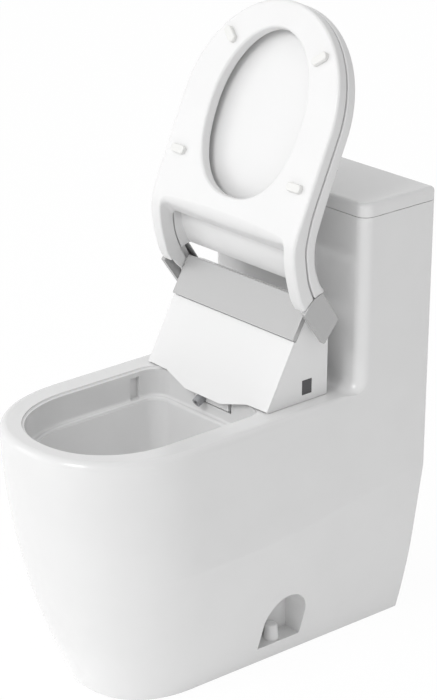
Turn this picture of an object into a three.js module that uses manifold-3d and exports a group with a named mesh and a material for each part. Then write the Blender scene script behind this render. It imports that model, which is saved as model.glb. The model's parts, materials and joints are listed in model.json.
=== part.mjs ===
// One-piece toilet with a washing seat: glazed ceramic body, dual-flush tank, soft-close ring and lid.
// Millimetres, +Z up, origin on the floor under the middle of the body, the bowl's front towards -Y.
// Rest pose: ring and lid raised.
import * as THREE from "three";
import { mergeVertices } from "three/addons/utils/BufferGeometryUtils.js";
import Module from "manifold-3d";

const wasm = await Module();
wasm.setup();

// Overall sizes of the ceramic body
const bodyWidth = 352;
const rimHeight = 450;
const tankHeight = 760;
const tankDepth = 157;
const deckBack = 185;
const tankCorner = 20;
const skirtWall = 12;
const deckThickness = 25;

// Clearances shared by neighbouring pieces, and how far a cutting solid passes its target
const seatGap = 0.3;
const runningGap = 0.4;
const slotGap = 1.2;
const overrun = 5;
const weldTolerance = 0.001;

// Foot and flare of the skirt
const footHalfFront = 110.6;
const footHalfBack = 127;
const footWidestAhead = 96.5;
const footSetback = 111;
const footPower = 2.25;
const footEdge = 3;
const creaseFront = 252;
const creaseBack = 281;
const backCorner = 8;
const sharpestCorner = 1;

// Rim outline
const rimWidestAhead = 147.5;
const rimReach = 194.5;
const rimPower = 2.19;
const rimEdge = 12;

// Bowl opening, ledge and sump
const openingHalf = 128;
const openingReach = 145.3;
const openingWidestAhead = 163.6;
const openingPower = 2.157;
const openingBack = 25;
const openingCorner = 34;
const openingLip = 4;
const ledgeDrop = 49.5;
const ledgeWidth = 6;
const bowlShell = 11;
const sumpHalf = 50;
const sumpReach = 52;
const sumpWidestAhead = 62;
const sumpBack = -8;
const sumpCorner = 48;
const sumpPower = 2;
const sumpFloor = 186;
const sumpFillet = 12;
const recessDepth = 4;
const recessFront = -21.5;
const recessTopDrop = 12;

// Trapway and the channel that feeds the bowl
const trapBore = 27;
const trapWall = 10;
const weirHeight = 310;
const outletForward = 47;
const gasketHeight = 12;
const gasketWall = 9;
const feedBore = 24;
const feedWall = 10;
const feedHeight = 385;
const feedExitAhead = 10;
const feedExitHeight = 318;

// Rear opening of the skirt for the supply hose
const rearHalf = 92;
const rearHeight = 240;

// Side niches with the floor bolts
const nicheFront = 18;
const nicheBack = 113;
const nicheFloor = 34;
const nicheSpring = 75;
const nicheTop = 122;
const nicheReach = 31;
const nicheWall = 10;
const boltInset = 16;
const boltForward = 3.5;
const boltRadius = 4;
const boltBottom = 4;
const boltTop = 54;
const boltHoleRadius = 5.5;
const washerRadius = 10.5;
const washerThickness = 2;
const nutAcross = 13;
const nutHeight = 6;
const capRadius = 13;
const capTopRadius = 10;
const capHeight = 29;
const capWall = 1.5;

// Tank
const tankFillet = 22;
const tankWall = 13;
const tankFloorTop = 430;
const tankFloorThickness = 14;
const tankCavityCorner = 12;
const lidThickness = 22;
const lidSeatGap = 0.5;
const lidEdge = 8;
const lidSkin = 11;
const lidRim = 14;
const lipWall = 6;
const lipDepth = 8;
const lipClearance = 1.5;

// Flush button
const buttonRadius = 17.2;
const buttonHeight = 10;
const buttonProud = 1;
const buttonSplit = -4;
const buttonTravel = 6;
const bezelWall = 2.8;
const bezelFlange = 4.5;
const bezelFlangeThickness = 1.8;
const bezelDepth = 19;
const bezelNutWall = 6;
const bezelNutHeight = 6;
const rodRadius = 2.5;
const rodSide = 10;

// Flush valve
const valveForward = 1.5;
const valveBore = 27;
const valveShank = 33;
const valveFlange = 44;
const valveFlangeHeight = 12;
const valveShankDrop = 18;
const valveLip = 2;
const valveBoss = 46;
const cageRadius = 34;
const cageWall = 3;
const cageHeight = 155;
const cageWindow = 34;
const cageWindowHalf = 16;
const pistonGap = 1.5;
const pistonHeight = 28;
const pistonRodRadius = 5;
const pistonRodTop = 640;
const pistonLift = 20;
const sealThickness = 3;
const overflowSide = 60;
const overflowRadius = 9.3;
const overflowWall = 1.8;
const overflowTop = 692;
const socketWall = 4;
const socketHeight = 26;
const socketChannel = 4;

// Fill valve
const floatWallGap = 27;
const fillShankRadius = 10;
const fillShankDrop = 38;
const fillFlangeRadius = 19;
const fillFlangeHeight = 6;
const fillStemRadius = 11;
const fillStemBore = 6;
const fillStemTop = 655;
const fillHeadRadius = 20;
const fillHeadHeight = 34;
const fillNutAcross = 34;
const fillNutHeight = 11;
const floatRadius = 31;
const floatBoreGap = 0.4;
const floatBottom = 530;
const floatHeight = 60;
const floatWall = 2.5;
const nippleRadius = 3;
const nippleLength = 8;
const refillRadius = 4;
const refillBore = 2.6;
const refillDip = 18;

// Hinge axis of ring and lid, and how far both swing from closed to raised
const hingeDepth = 115.3;
const hingeRise = 131.1;
const openAngle = 113.9;
const shaftRadius = 5;
const shaftFlat = 3.8;
const shaftEndGap = 4.8;
const hubRadius = 13.4;
const seamRadius = 55;
const seamGap = 0.4;

// Seat ring
const ringHalf = 167;
const ringReach = 180;
const ringWidestAhead = 160.5;
const ringClear = 8;
const ringThickness = 20.6;
const ringRounding = 5;
const holeHalf = 101.5;
const holeFrontReach = 137;
const holeBackReach = 134;
const holeAhead = 159;
const holePower = 2.3;
const holeRounding = 4.5;
const bridgeBackBottom = 12.7;
const bridgeBackTop = 29.8;
const bridgeChamferRise = 35.5;
const bridgeCorner = 12;
const armThickness = 6.7;
const bumperLength = 30;
const bumperWidth = 14;
const bumperRounding = 2;
const bumperRearSide = 134;
const bumperRearAhead = 70;
const bumperFrontSide = 101;
const bumperFrontAhead = 265.5;
const bumperFrontTurn = 38;

// Lid of the seat
const coverGap = 1.6;
const coverThickness = 20;
const coverRounding = 7;
const coverBottomRounding = 2;
const coverSkin = 4;
const coverDish = 9;
const coverBorder = 34;
const coverSlope = 14;
const padRadius = 6;
const padSide = 152;
const padAhead = 150;

// Washing unit on the deck
const housingHalf = 142.4;
const housingWall = 3;
const housingBack = 144.8;
const housingClear = 0.6;
const panelClear = 1.9;
const panelBottomDepth = 17;
const panelThickness = 2.5;
const panelRecess = 5;
const bandBottomDepth = 68.6;
const bandBottomRise = 108.5;
const bandTopDepth = 102.8;
const bandTopRise = 166.3;
const bandThickness = 9;
const bandSkin = 2.5;
const bandRim = 4;
const housingTopBackRise = 148;
const housingTopCorner = 8;
const bulgeDrop = 14;
const bulgeHalf = 42;
const bulgeEnd = 96;
const panelEdgeRise = 1;
const windowWidth = 20;
const windowHeight = 24;
const windowDepth = 91.5;
const windowRise = 12;
const windowThickness = 2.4;
const capProud = 2.8;
const capPlate = 8.6;
const capShell = 2.4;
const capRounding = 4;
const bushRadius = 8.7;
const bushFlangeRadius = 12;
const bushFlange = 3;
const damperRadius = 12;
const damperLength = 36;
const damperInner = 92;
const damperBracketHalf = 7;

// Fixing of the washing unit
const plateHalf = 95;
const plateFront = 88;
const plateBack = 136;
const plateThickness = 3;
const plateCorner = 6;
const fixingSide = 70;
const fixingDepth = 112;
const fixingRadius = 4.4;
const fixingHead = 9;
const fixingHeadHeight = 3.5;
const fixingLength = 26;
const sleeveRadius = 6.7;
const sleeveBulge = 9;
const sleeveDrop = 8;
const trayThickness = 3;
const trayFront = 27;
const trayGateBack = 100;
const trayFootHalf = 15;
const trayFootSide = 38;

// Nozzle, its guide and what stands beside it in the unit
const nozzleSide = -13;
const nozzleDepth = 8;
const nozzleDrop = 28;
const nozzleSlope = 30;
const wandRadius = 6.5;
const wandLength = 106;
const tipRadius = 8;
const tipLength = 22;
const tipPort = 4.5;
const tipPortDepth = 9;
const nozzleTravel = 90;
const guideHalf = 11;
const guideStart = 26;
const guideLength = 88;
const guideFootDepth = 14;
const guideFootHeight = 9;
const shroudLeft = -32;
const shroudRight = 48;
const shroudFront = 22;
const shroudThickness = 9;
const shroudBottomDrop = 27;
const shroudTopRise = 3;
const pocketMargin = 4;
const pocketBack = 84;
const pocketDrop = 31;
const pocketFloor = 11;
const motorHalf = 13;
const motorHeight = 24;
const motorStart = 66;
const motorLength = 32;
const heaterLeft = 58;
const heaterRight = 128;
const heaterFront = 74;
const heaterBack = 131;
const heaterHeight = 54;
const boardLeft = -128;
const boardRight = -44;
const boardHeight = 38;
const moduleEdge = 4;
const inletSide = 96;
const inletRise = 34;
const inletRadius = 8;
const inletLength = 26;
const inletBore = 4;

// Facet counts
const frontFacets = 28;
const cornerFacets = 3;
const arcFacets = 2;
const wideArcFacets = 7;
const bevelFacets = 2;
const roundFacets = 24;
const fineFacets = 40;
const smallFacets = 16;
const tubeFacets = 16;
const seamFacets = 72;
const trapSteps = 24;
const feedSteps = 14;

const bodyHalf = bodyWidth / 2;
const bodyFront = -rimWidestAhead - rimReach;
const bodyBack = deckBack + tankDepth;
const tankFront = deckBack;
const farAway = bodyBack - bodyFront;
const hingeHeight = rimHeight + hingeRise;
const valveDepth = tankFront + tankDepth / 2 - valveForward;
const fillSide = floatWallGap + floatRadius + tankWall - bodyHalf;
const nichePlane = footHalfBack - nicheReach;
const boltSide = nichePlane + boltInset;
const nicheMiddle = (nicheFront + nicheBack) / 2;
const boltDepth = nicheMiddle - boltForward;
const deckUnderside = rimHeight - deckThickness;
const capFaceHalf = ringHalf + capProud;
const shaftHalf = capFaceHalf - shaftEndGap;
const capInnerHalf = housingHalf + slotGap;
const ringLegInner = housingHalf + 2 * slotGap - runningGap;
const ringArmInner = ringLegInner + runningGap;
const coverLegInner = ringLegInner;
const bushOuterHalf = ringArmInner + armThickness + seatGap;
const openRadians = THREE.MathUtils.degToRad(openAngle);

// Heights of the skirt sections as shares of the rim height, with how far the front stands back from the
// rim there, as a share of the foot's whole setback
const setbackShares = [
  [0, 1],
  [0.0889, 0.853],
  [0.1778, 0.704],
  [0.2667, 0.572],
  [0.3556, 0.454],
  [0.4444, 0.364],
  [0.5333, 0.281],
  [0.6222, 0.195],
  [0.7111, 0.122],
  [0.8, 0.062],
  [0.8889, 0.022],
  [0.96, 0],
  [1, 0],
];

// Heights as shares of the crease height, with the share of the sideways flare reached there
const flareShares = [
  [0, 0],
  [0.046, 0.09],
  [0.139, 0.19],
  [0.285, 0.386],
  [0.427, 0.54],
  [0.566, 0.658],
  [0.701, 0.755],
  [0.836, 0.87],
  [1, 1],
];

// Depth down the bowl below the ledge and how wide it still is, as shares of ledge-to-sump
const bowlShares = [
  [0, 1],
  [0.1, 0.93],
  [0.25, 0.81],
  [0.42, 0.65],
  [0.6, 0.46],
  [0.77, 0.27],
  [0.9, 0.11],
  [0.97, 0.02],
];

const materials = {
  ceramic: new THREE.MeshStandardMaterial({ color: 0xececea, roughness: 0.12, metalness: 0 }),
  seatPlastic: new THREE.MeshStandardMaterial({ color: 0xf6f6f5, roughness: 0.3, metalness: 0 }),
  bandMetal: new THREE.MeshStandardMaterial({ color: 0xc6c7c9, roughness: 0.35, metalness: 0.8 }),
  chrome: new THREE.MeshStandardMaterial({ color: 0xd8d9da, roughness: 0.12, metalness: 1 }),
  steel: new THREE.MeshStandardMaterial({ color: 0xb4b6b8, roughness: 0.35, metalness: 1 }),
  window: new THREE.MeshStandardMaterial({ color: 0x3a3a3c, roughness: 0.15, metalness: 0 }),
  rubber: new THREE.MeshStandardMaterial({ color: 0x3b3c3e, roughness: 0.8, metalness: 0 }),
  paleRubber: new THREE.MeshStandardMaterial({ color: 0xeceded, roughness: 0.7, metalness: 0 }),
  innerPlastic: new THREE.MeshStandardMaterial({ color: 0xd5d8db, roughness: 0.5, metalness: 0 }),
  blueSeal: new THREE.MeshStandardMaterial({ color: 0x4f6f8f, roughness: 0.6, metalness: 0 }),
};

// A closed manifold solid from a geometry, turned so that its faces point out.
function solidOf(geometry) {
  const bare = geometry.clone();
  bare.deleteAttribute("normal");
  bare.deleteAttribute("uv");
  const merged = mergeVertices(bare, weldTolerance);
  const corners = merged.index.array;
  const at = merged.attributes.position;
  const [a, b, c] = [new THREE.Vector3(), new THREE.Vector3(), new THREE.Vector3()];
  const faces = [];
  let volume = 0;
  for (let i = 0; i < corners.length; i += 3) {
    const [p, q, r] = [corners[i], corners[i + 1], corners[i + 2]];
    if (p === q || q === r || r === p) continue;
    faces.push([p, q, r]);
    volume += a.fromBufferAttribute(at, p).dot(
      b.fromBufferAttribute(at, q).cross(c.fromBufferAttribute(at, r)));
  }
  const outward = volume < 0 ? faces.map(([p, q, r]) => [p, r, q]) : faces;
  return new wasm.Manifold(new wasm.Mesh({
    numProp: 3,
    vertProperties: new Float32Array(at.array),
    triVerts: new Uint32Array(outward.flat()),
  }));
}

function geometryOf(solid) {
  const data = solid.getMesh();
  const geometry = new THREE.BufferGeometry();
  geometry.setAttribute("position", new THREE.BufferAttribute(new Float32Array(data.vertProperties), 3));
  geometry.setIndex(new THREE.BufferAttribute(new Uint32Array(data.triVerts), 1));
  geometry.computeVertexNormals();
  return geometry;
}

const union = (...solids) => solids.reduce((whole, next) => whole.add(next));
const cut = (solid, ...tools) => tools.reduce((whole, tool) => whole.subtract(tool), solid);

function piece(group, name, solid, material) {
  const mesh = new THREE.Mesh(geometryOf(solid), material);
  mesh.name = name;
  group.add(mesh);
}

// Triangles that close a flat ring of points, as triples of places in the ring.
function capFaces(ring) {
  const normal = new THREE.Vector3();
  ring.forEach((p, i) => {
    const q = ring[(i + 1) % ring.length];
    normal.x += (p.y - q.y) * (p.z + q.z);
    normal.y += (p.z - q.z) * (p.x + q.x);
    normal.z += (p.x - q.x) * (p.y + q.y);
  });
  normal.normalize();
  const across = Math.abs(normal.x) > 0.9 ? new THREE.Vector3(0, 1, 0) : new THREE.Vector3(1, 0, 0);
  const u = across.addScaledVector(normal, -across.dot(normal)).normalize();
  const v = normal.clone().cross(u);
  const flat = ring.map((p) => new THREE.Vector2(p.dot(u), p.dot(v)));
  return THREE.ShapeUtils.triangulateShape(flat, []);
}

// Skin over a row of rings with equal point counts, closed by a flat cap at each end.
function loft(rings) {
  const count = rings[0].length;
  const faces = [];
  for (let k = 0; k + 1 < rings.length; k++) {
    for (let i = 0; i < count; i++) {
      const j = (i + 1) % count;
      const [p, q, r, s] = [k * count + i, k * count + j, (k + 1) * count + j, (k + 1) * count + i];
      faces.push(p, q, r, p, r, s);
    }
  }
  const last = (rings.length - 1) * count;
  for (const [p, q, r] of capFaces(rings[0])) faces.push(p, r, q);
  for (const [p, q, r] of capFaces(rings[rings.length - 1])) faces.push(last + p, last + q, last + r);
  const geometry = new THREE.BufferGeometry().setFromPoints(rings.flat());
  geometry.setIndex(faces);
  return solidOf(geometry);
}

const shapeOf = (points) => new THREE.Shape(points.map(([x, y]) => new THREE.Vector2(x, y)));

// Prism of a shape, with its edges rounded by bevel where that is more than zero.
function prism(shape, length, bevel = 0, facets = arcFacets) {
  const geometry = new THREE.ExtrudeGeometry(shape, {
    depth: length - 2 * bevel,
    bevelEnabled: bevel > 0,
    bevelThickness: bevel,
    bevelSize: bevel,
    bevelOffset: -bevel,
    bevelSegments: bevelFacets,
    curveSegments: facets,
    steps: 1,
  });
  return geometry.translate(0, 0, bevel);
}

// A shape drawn in depth and height, carried from one X to another.
function alongX(shape, from, to, bevel = 0, facets = arcFacets) {
  const turn = new THREE.Matrix4().makeBasis(
    new THREE.Vector3(0, 1, 0), new THREE.Vector3(0, 0, 1), new THREE.Vector3(1, 0, 0));
  return solidOf(prism(shape, to - from, bevel, facets).applyMatrix4(turn).translate(from, 0, 0));
}

const alongZ = (shape, from, to, bevel = 0) => solidOf(prism(shape, to - from, bevel).translate(0, 0, from));

const box = (x0, x1, y0, y1, z0, z1) => solidOf(
  new THREE.BoxGeometry(x1 - x0, y1 - y0, z1 - z0).translate((x0 + x1) / 2, (y0 + y1) / 2, (z0 + z1) / 2));

function roundedRectangle(x0, x1, y0, y1, radius) {
  const shape = new THREE.Shape();
  shape.absarc(x1 - radius, y1 - radius, radius, 0, Math.PI / 2);
  shape.absarc(x0 + radius, y1 - radius, radius, Math.PI / 2, Math.PI);
  shape.absarc(x0 + radius, y0 + radius, radius, Math.PI, 1.5 * Math.PI);
  shape.absarc(x1 - radius, y0 + radius, radius, 1.5 * Math.PI, 2 * Math.PI);
  return shape;
}

const rodX = (radius, y, z, from, to, facets = roundFacets) => solidOf(
  new THREE.CylinderGeometry(radius, radius, to - from, facets)
    .rotateZ(Math.PI / 2).translate((from + to) / 2, y, z));

const rodY = (radius, x, z, from, to, facets = roundFacets) => solidOf(
  new THREE.CylinderGeometry(radius, radius, to - from, facets).translate(x, (from + to) / 2, z));

const rodZ = (radius, x, y, from, to, facets = roundFacets) => solidOf(
  new THREE.CylinderGeometry(radius, radius, to - from, facets)
    .rotateX(Math.PI / 2).translate(x, y, (from + to) / 2));

// Turned piece about a vertical axis; the profile lists radius and height, and closes on itself.
function turned(profile, x, y, facets = roundFacets) {
  const closed = [...profile, profile[0]].map(([r, z]) => new THREE.Vector2(r, z));
  return solidOf(new THREE.LatheGeometry(closed, facets).rotateX(Math.PI / 2).translate(x, y, 0));
}

// Turned piece about the hinge axis; the profile lists radius and X.
function turnedOnHinge(profile, facets = roundFacets) {
  const closed = [...profile, profile[0]].map(([r, x]) => new THREE.Vector2(r, x));
  return solidOf(new THREE.LatheGeometry(closed, facets)
    .rotateZ(-Math.PI / 2).translate(0, hingeDepth, hingeHeight));
}

// Round tube or rod along a smooth curve through the given points.
function swept(points, radius, steps, facets = tubeFacets) {
  const section = shapeOf(Array.from({ length: facets }, (_, i) => {
    const angle = (2 * Math.PI * i) / facets;
    return [radius * Math.cos(angle), radius * Math.sin(angle)];
  }));
  const path = new THREE.CatmullRomCurve3(points.map((p) => new THREE.Vector3(...p)));
  return solidOf(new THREE.ExtrudeGeometry(section, { steps, extrudePath: path }));
}

// Value at x in a table of rising pairs, on straight lines between them.
function lookUp(table, x) {
  const next = table.findIndex(([place]) => place >= x);
  if (next === 0) return table[0][1];
  if (next < 0) return table[table.length - 1][1];
  const [x0, y0] = table[next - 1];
  const [x1, y1] = table[next];
  return THREE.MathUtils.mapLinear(x, x0, x1, y0, y1);
}

// Plan outline: a superellipse nose in front of its widest line, straight sides running back from it,
// and round corners at a flat back.
function planRing(plan, height, inset = 0) {
  const { half, widest, front, power, backHalf, back, corner } = plan;
  const points = [];
  const reach = widest - front - inset;
  const round = Math.max(corner - inset, sharpestCorner);
  for (let i = 0; i <= frontFacets; i++) {
    const angle = (Math.PI * i) / frontFacets;
    const x = Math.sign(Math.cos(angle)) * Math.abs(Math.cos(angle)) ** (2 / power);
    const y = Math.abs(Math.sin(angle)) ** (2 / power);
    points.push(new THREE.Vector3((half - inset) * x, widest - reach * y, height));
  }
  for (const side of [-1, 1]) {
    for (let i = 0; i <= cornerFacets; i++) {
      const share = side < 0 ? i / cornerFacets : 1 - i / cornerFacets;
      const angle = (share * Math.PI) / 2;
      const x = backHalf - inset - round + round * Math.cos(angle);
      const y = back - inset - round + round * Math.sin(angle);
      points.push(new THREE.Vector3(side * x, y, height));
    }
  }
  return points;
}

// Section of the skirt at a height.
function skirtPlan(height) {
  const { lerp } = THREE.MathUtils;
  const level = Math.max(height, 0);
  const setback = lookUp(setbackShares, level / rimHeight);
  return {
    half: lerp(footHalfFront, bodyHalf, lookUp(flareShares, level / creaseFront)),
    widest: lerp(-rimWidestAhead, -footWidestAhead, setback),
    front: bodyFront + setback * footSetback,
    power: lerp(footPower, rimPower, level / rimHeight),
    backHalf: lerp(footHalfBack, bodyHalf, lookUp(flareShares, level / creaseBack)),
    back: bodyBack,
    corner: backCorner,
  };
}

// Quarter-round steps: how far a section is drawn in at each height above the start of the rounding.
const roundingSteps = (radius, count) => Array.from({ length: count + 1 }, (_, i) => {
  const angle = (Math.PI / 2) * (i / count);
  return [radius * Math.sin(angle), radius * (1 - Math.cos(angle))];
});

// Outer form of bowl and skirt, with a small radius at the floor and a large one round the rim.
function skirtOuter() {
  const heights = [...setbackShares.map(([share]) => share * rimHeight), creaseFront, creaseBack]
    .filter((height) => height > footEdge && height < rimHeight - rimEdge)
    .sort((a, b) => a - b);
  const rings = [
    planRing(skirtPlan(0), 0, footEdge),
    planRing(skirtPlan(footEdge), footEdge),
    ...heights.map((height) => planRing(skirtPlan(height), height)),
    ...roundingSteps(rimEdge, 4).map(([rise, inset]) => {
      const height = rimHeight - rimEdge + rise;
      return planRing(skirtPlan(height), height, inset);
    }),
  ];
  return loft(rings);
}

// Tank block, whose front runs into the deck with a concave fillet.
function tankOuter() {
  const plan = (front) => ({
    x: bodyHalf, front, back: bodyBack,
  });
  const ring = ({ x, front, back }, height) => {
    const points = [];
    const corners = [[-1, front, tankCorner, Math.PI], [1, front, tankCorner, 1.5 * Math.PI],
      [1, back, backCorner, 0], [-1, back, backCorner, 0.5 * Math.PI]];
    for (const [side, y, radius, start] of corners) {
      const inward = y === front ? radius : -radius;
      for (let i = 0; i <= 2 * cornerFacets; i++) {
        const angle = start + ((Math.PI / 2) * i) / (2 * cornerFacets);
        points.push(new THREE.Vector3(
          side * (x - radius) + radius * Math.cos(angle), y + inward + radius * Math.sin(angle), height));
      }
    }
    return points;
  };
  const fillet = roundingSteps(tankFillet, 4).map(([forward, rise]) =>
    ring(plan(tankFront - tankFillet + forward), rimHeight + rise));
  return loft([
    ring(plan(tankFront - tankFillet), rimHeight - rimEdge),
    ...fillet,
    ring(plan(tankFront), tankHeight - lidThickness - lidSeatGap),
  ]);
}

const openingPlan = {
  half: openingHalf,
  widest: -openingWidestAhead,
  front: -openingWidestAhead - openingReach,
  power: openingPower,
  backHalf: openingHalf,
  back: openingBack,
  corner: openingCorner,
};

const sumpPlan = {
  half: sumpHalf,
  widest: -sumpWidestAhead,
  front: -sumpWidestAhead - sumpReach,
  power: sumpPower,
  backHalf: sumpHalf,
  back: sumpBack,
  corner: sumpCorner,
};

// Inside of the bowl: rounded lip, upright rimless wall, narrow ledge, then a flowing slope to the sump.
// A positive growth gives the outside of the same shell.
function bowlInside(growth = 0) {
  const ledge = rimHeight - ledgeDrop - growth;
  const floor = sumpFloor - growth;
  const rings = [];
  if (growth === 0) {
    rings.push(planRing(openingPlan, rimHeight + overrun, -openingLip));
    for (const [rise, inset] of roundingSteps(openingLip, 3)) {
      rings.push(planRing(openingPlan, rimHeight - rise, inset - openingLip));
    }
    rings.push(planRing(openingPlan, ledge));
  } else {
    rings.push(planRing(openingPlan, rimHeight - rimEdge, -growth));
    rings.push(planRing(openingPlan, ledge, -growth));
  }
  const shelf = planRing(openingPlan, 0, ledgeWidth - growth);
  const sump = planRing(sumpPlan, 0, -growth);
  for (const [depth, spread] of bowlShares) {
    const height = ledge - depth * (ledge - floor);
    rings.push(shelf.map((p, i) => sump[i].clone().lerp(p, spread).setZ(height)));
  }
  rings.push(planRing(sumpPlan, floor, sumpFillet - growth));
  return loft(rings);
}

const trapRadius = trapBore + trapWall;

// Siphon bends: from the sump up over the weir and down to the outlet, in depth and height as shares of the
// weir's height.
const trapRouteShares = [
  [-0.2742, 0.7129],
  [-0.1452, 0.6742],
  [-0.0161, 0.6677],
  [0.1129, 0.7548],
  [0.2194, 0.8968],
  [0.3387, 1],
  [0.4581, 0.9387],
  [0.5032, 0.7968],
  [0.4516, 0.6],
  [0.3323, 0.4065],
  [0.2129, 0.2516],
];
const trapRoute = [
  ...trapRouteShares.map(([y, z]) => [y * weirHeight, z * weirHeight]),
  [outletForward, gasketHeight + trapBore],
];

function trapway(radius, end) {
  return swept([...trapRoute, [outletForward, end]].map(([y, z]) => [0, y, z]), radius, trapSteps);
}

// Water channel from under the flush valve to the back of the bowl.
const feedRoute = [
  [valveDepth, tankFloorTop],
  [valveDepth, feedHeight + feedBore],
  [valveDepth - feedBore, feedHeight + 4],
  [valveDepth - 3 * feedBore, feedHeight],
  [valveDepth / 2, feedHeight],
  [3 * feedBore, feedHeight - 6],
  [feedBore + feedWall, (feedHeight + feedExitHeight) / 2],
];

function feedChannel(radius, exit) {
  return swept([...feedRoute, exit].map(([y, z]) => [0, y, z]), radius, feedSteps);
}

const nozzleRadians = THREE.MathUtils.degToRad(nozzleSlope);
const pocketHeight = rimHeight - pocketDrop;

// Hollow under the glazed form; what is left standing in it are bowl shell, trapway, channel and feet.
function skirtHollow() {
  const heights = [-overrun, ...setbackShares.map(([share]) => share * rimHeight)
    .filter((height, i) => i % 2 === 1 && height < deckUnderside), creaseBack, deckUnderside];
  const space = loft(heights.sort((a, b) => a - b).map((height) =>
    planRing(skirtPlan(height), height, skirtWall)));
  const kept = [
    bowlInside(bowlShell),
    trapway(trapRadius, gasketHeight + seatGap),
    feedChannel(feedBore + feedWall, [-feedExitAhead, feedExitHeight]),
    rodZ(valveBoss, 0, valveDepth, feedHeight - feedBore, rimHeight),
    box(-bodyWidth, bodyWidth, tankFront - tankFillet, farAway, tankFloorTop - tankFloorThickness, rimHeight),
    box(shroudLeft - pocketMargin - pocketFloor, shroudRight + pocketMargin + pocketFloor, 0,
      pocketBack + pocketFloor, pocketHeight - pocketFloor, rimHeight),
  ];
  for (const side of [-1, 1]) {
    const inner = nichePlane - nicheWall;
    const [from, to] = side < 0 ? [-bodyWidth, -inner] : [inner, bodyWidth];
    kept.push(box(from, to, nicheFront - nicheWall, nicheBack + nicheWall, -overrun, nicheTop + nicheWall));
  }
  return cut(space, ...kept);
}

// Arched recess in the side of the skirt, where the floor bolt stands.
function nicheCut(side) {
  const shape = new THREE.Shape();
  shape.moveTo(nicheFront, nicheFloor);
  shape.lineTo(nicheBack, nicheFloor);
  shape.lineTo(nicheBack, nicheSpring);
  shape.absellipse(nicheMiddle, nicheSpring, nicheBack - nicheMiddle, nicheTop - nicheSpring, 0, Math.PI);
  const [from, to] = side < 0 ? [-bodyWidth, -nichePlane] : [nichePlane, bodyWidth];
  return alongX(shape, from, to, 0, wideArcFacets);
}

function ceramicBody() {
  const whole = cut(union(skirtOuter(), tankOuter()), skirtHollow());
  const cavityInset = tankWall;
  const tankCavity = alongZ(
    roundedRectangle(-bodyHalf + cavityInset, bodyHalf - cavityInset,
      tankFront + cavityInset, bodyBack - cavityInset, tankCavityCorner),
    tankFloorTop, tankHeight + overrun);
  const recesses = [-1, 1].map((side) => {
    const outer = side * (openingHalf + recessDepth);
    return box(Math.min(0, outer), Math.max(0, outer), recessFront, openingBack - openingCorner,
      rimHeight - ledgeDrop, rimHeight - recessTopDrop);
  });
  const rearShape = new THREE.Shape();
  rearShape.moveTo(rearHalf, -overrun);
  rearShape.lineTo(rearHalf, rearHeight - rearHalf);
  rearShape.absarc(0, rearHeight - rearHalf, rearHalf, 0, Math.PI);
  rearShape.lineTo(-rearHalf, -overrun);
  const rearTurn = new THREE.Matrix4().makeBasis(
    new THREE.Vector3(1, 0, 0), new THREE.Vector3(0, 0, 1), new THREE.Vector3(0, -1, 0));
  const rearOpening = solidOf(
    prism(rearShape, 2 * skirtWall, 0, wideArcFacets).applyMatrix4(rearTurn).translate(0, bodyBack + skirtWall - seatGap, 0));
  const holes = [-1, 1].flatMap((side) => [
    rodZ(sleeveRadius + seatGap, side * fixingSide, fixingDepth, deckUnderside - overrun, rimHeight + overrun,
      smallFacets),
    rodZ(boltHoleRadius, side * boltSide, boltDepth, -overrun, nicheFloor + overrun, smallFacets),
    nicheCut(side),
  ]);
  return cut(whole, bowlInside(), ...recesses, tankCavity,
    trapway(trapBore, -overrun),
    feedChannel(feedBore, [-feedExitAhead - feedBore, feedExitHeight - feedBore]),
    rodZ(valveShank + seatGap, 0, valveDepth, feedHeight, tankFloorTop + overrun),
    rodZ(fillShankRadius + seatGap, fillSide, valveDepth, feedHeight, tankFloorTop + overrun, smallFacets),
    box(shroudLeft - pocketMargin, shroudRight + pocketMargin, openingBack - openingCorner, pocketBack,
      pocketHeight, rimHeight + overrun),
    rearOpening, ...holes);
}

// Floor fixings: bolt, washer, nut and cap at each side, and the seal under the outlet.
function floorFixings(group) {
  const shelf = nicheFloor + seatGap;
  const washerTop = shelf + washerThickness;
  const nutBottom = washerTop + seatGap;
  for (const [name, side] of [["left", -1], ["right", 1]]) {
    const x = side * boltSide;
    piece(group, `floor_bolt_${name}`, rodZ(boltRadius, x, boltDepth, boltBottom, boltTop, smallFacets),
      materials.steel);
    piece(group, `bolt_washer_${name}`, turned([[boltRadius + seatGap, shelf], [washerRadius, shelf],
      [washerRadius, washerTop], [boltRadius + seatGap, washerTop]], x, boltDepth, smallFacets), materials.steel);
    const nut = rodZ(nutAcross / Math.sqrt(3), x, boltDepth, nutBottom, nutBottom + nutHeight, 6);
    piece(group, `bolt_nut_${name}`, cut(nut, rodZ(boltRadius + seatGap, x, boltDepth, nutBottom - overrun,
      nutBottom + nutHeight + overrun, smallFacets)), materials.steel);
    const top = shelf + capHeight;
    const shoulder = top - capTopRadius / 2;
    piece(group, `bolt_cap_${name}`, turned([[capRadius, shelf], [capTopRadius, shoulder],
      [capTopRadius * 0.75, top - capTopRadius * 0.14], [0, top], [0, top - capWall],
      [capTopRadius * 0.75 - capWall / 2, top - capTopRadius * 0.14 - capWall],
      [capTopRadius - capWall, shoulder - capWall / 2], [capRadius - capWall, shelf]], x, boltDepth, roundFacets),
    materials.ceramic);
  }
  piece(group, "outlet_gasket", turned([[trapBore + seatGap, 0], [trapBore + gasketWall, 0],
    [trapBore + gasketWall, gasketHeight], [trapBore + seatGap, gasketHeight]], 0, outletForward),
  materials.rubber);
}

// Flush valve on the tank floor, with the standpipe beside it.
const flangeTop = tankFloorTop + seatGap + valveFlangeHeight;
const cageBottom = flangeTop + seatGap;
const cageTop = cageBottom + cageHeight;
const sealBottom = flangeTop + valveLip + seatGap;
const pistonBottom = sealBottom + sealThickness + seatGap;

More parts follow.
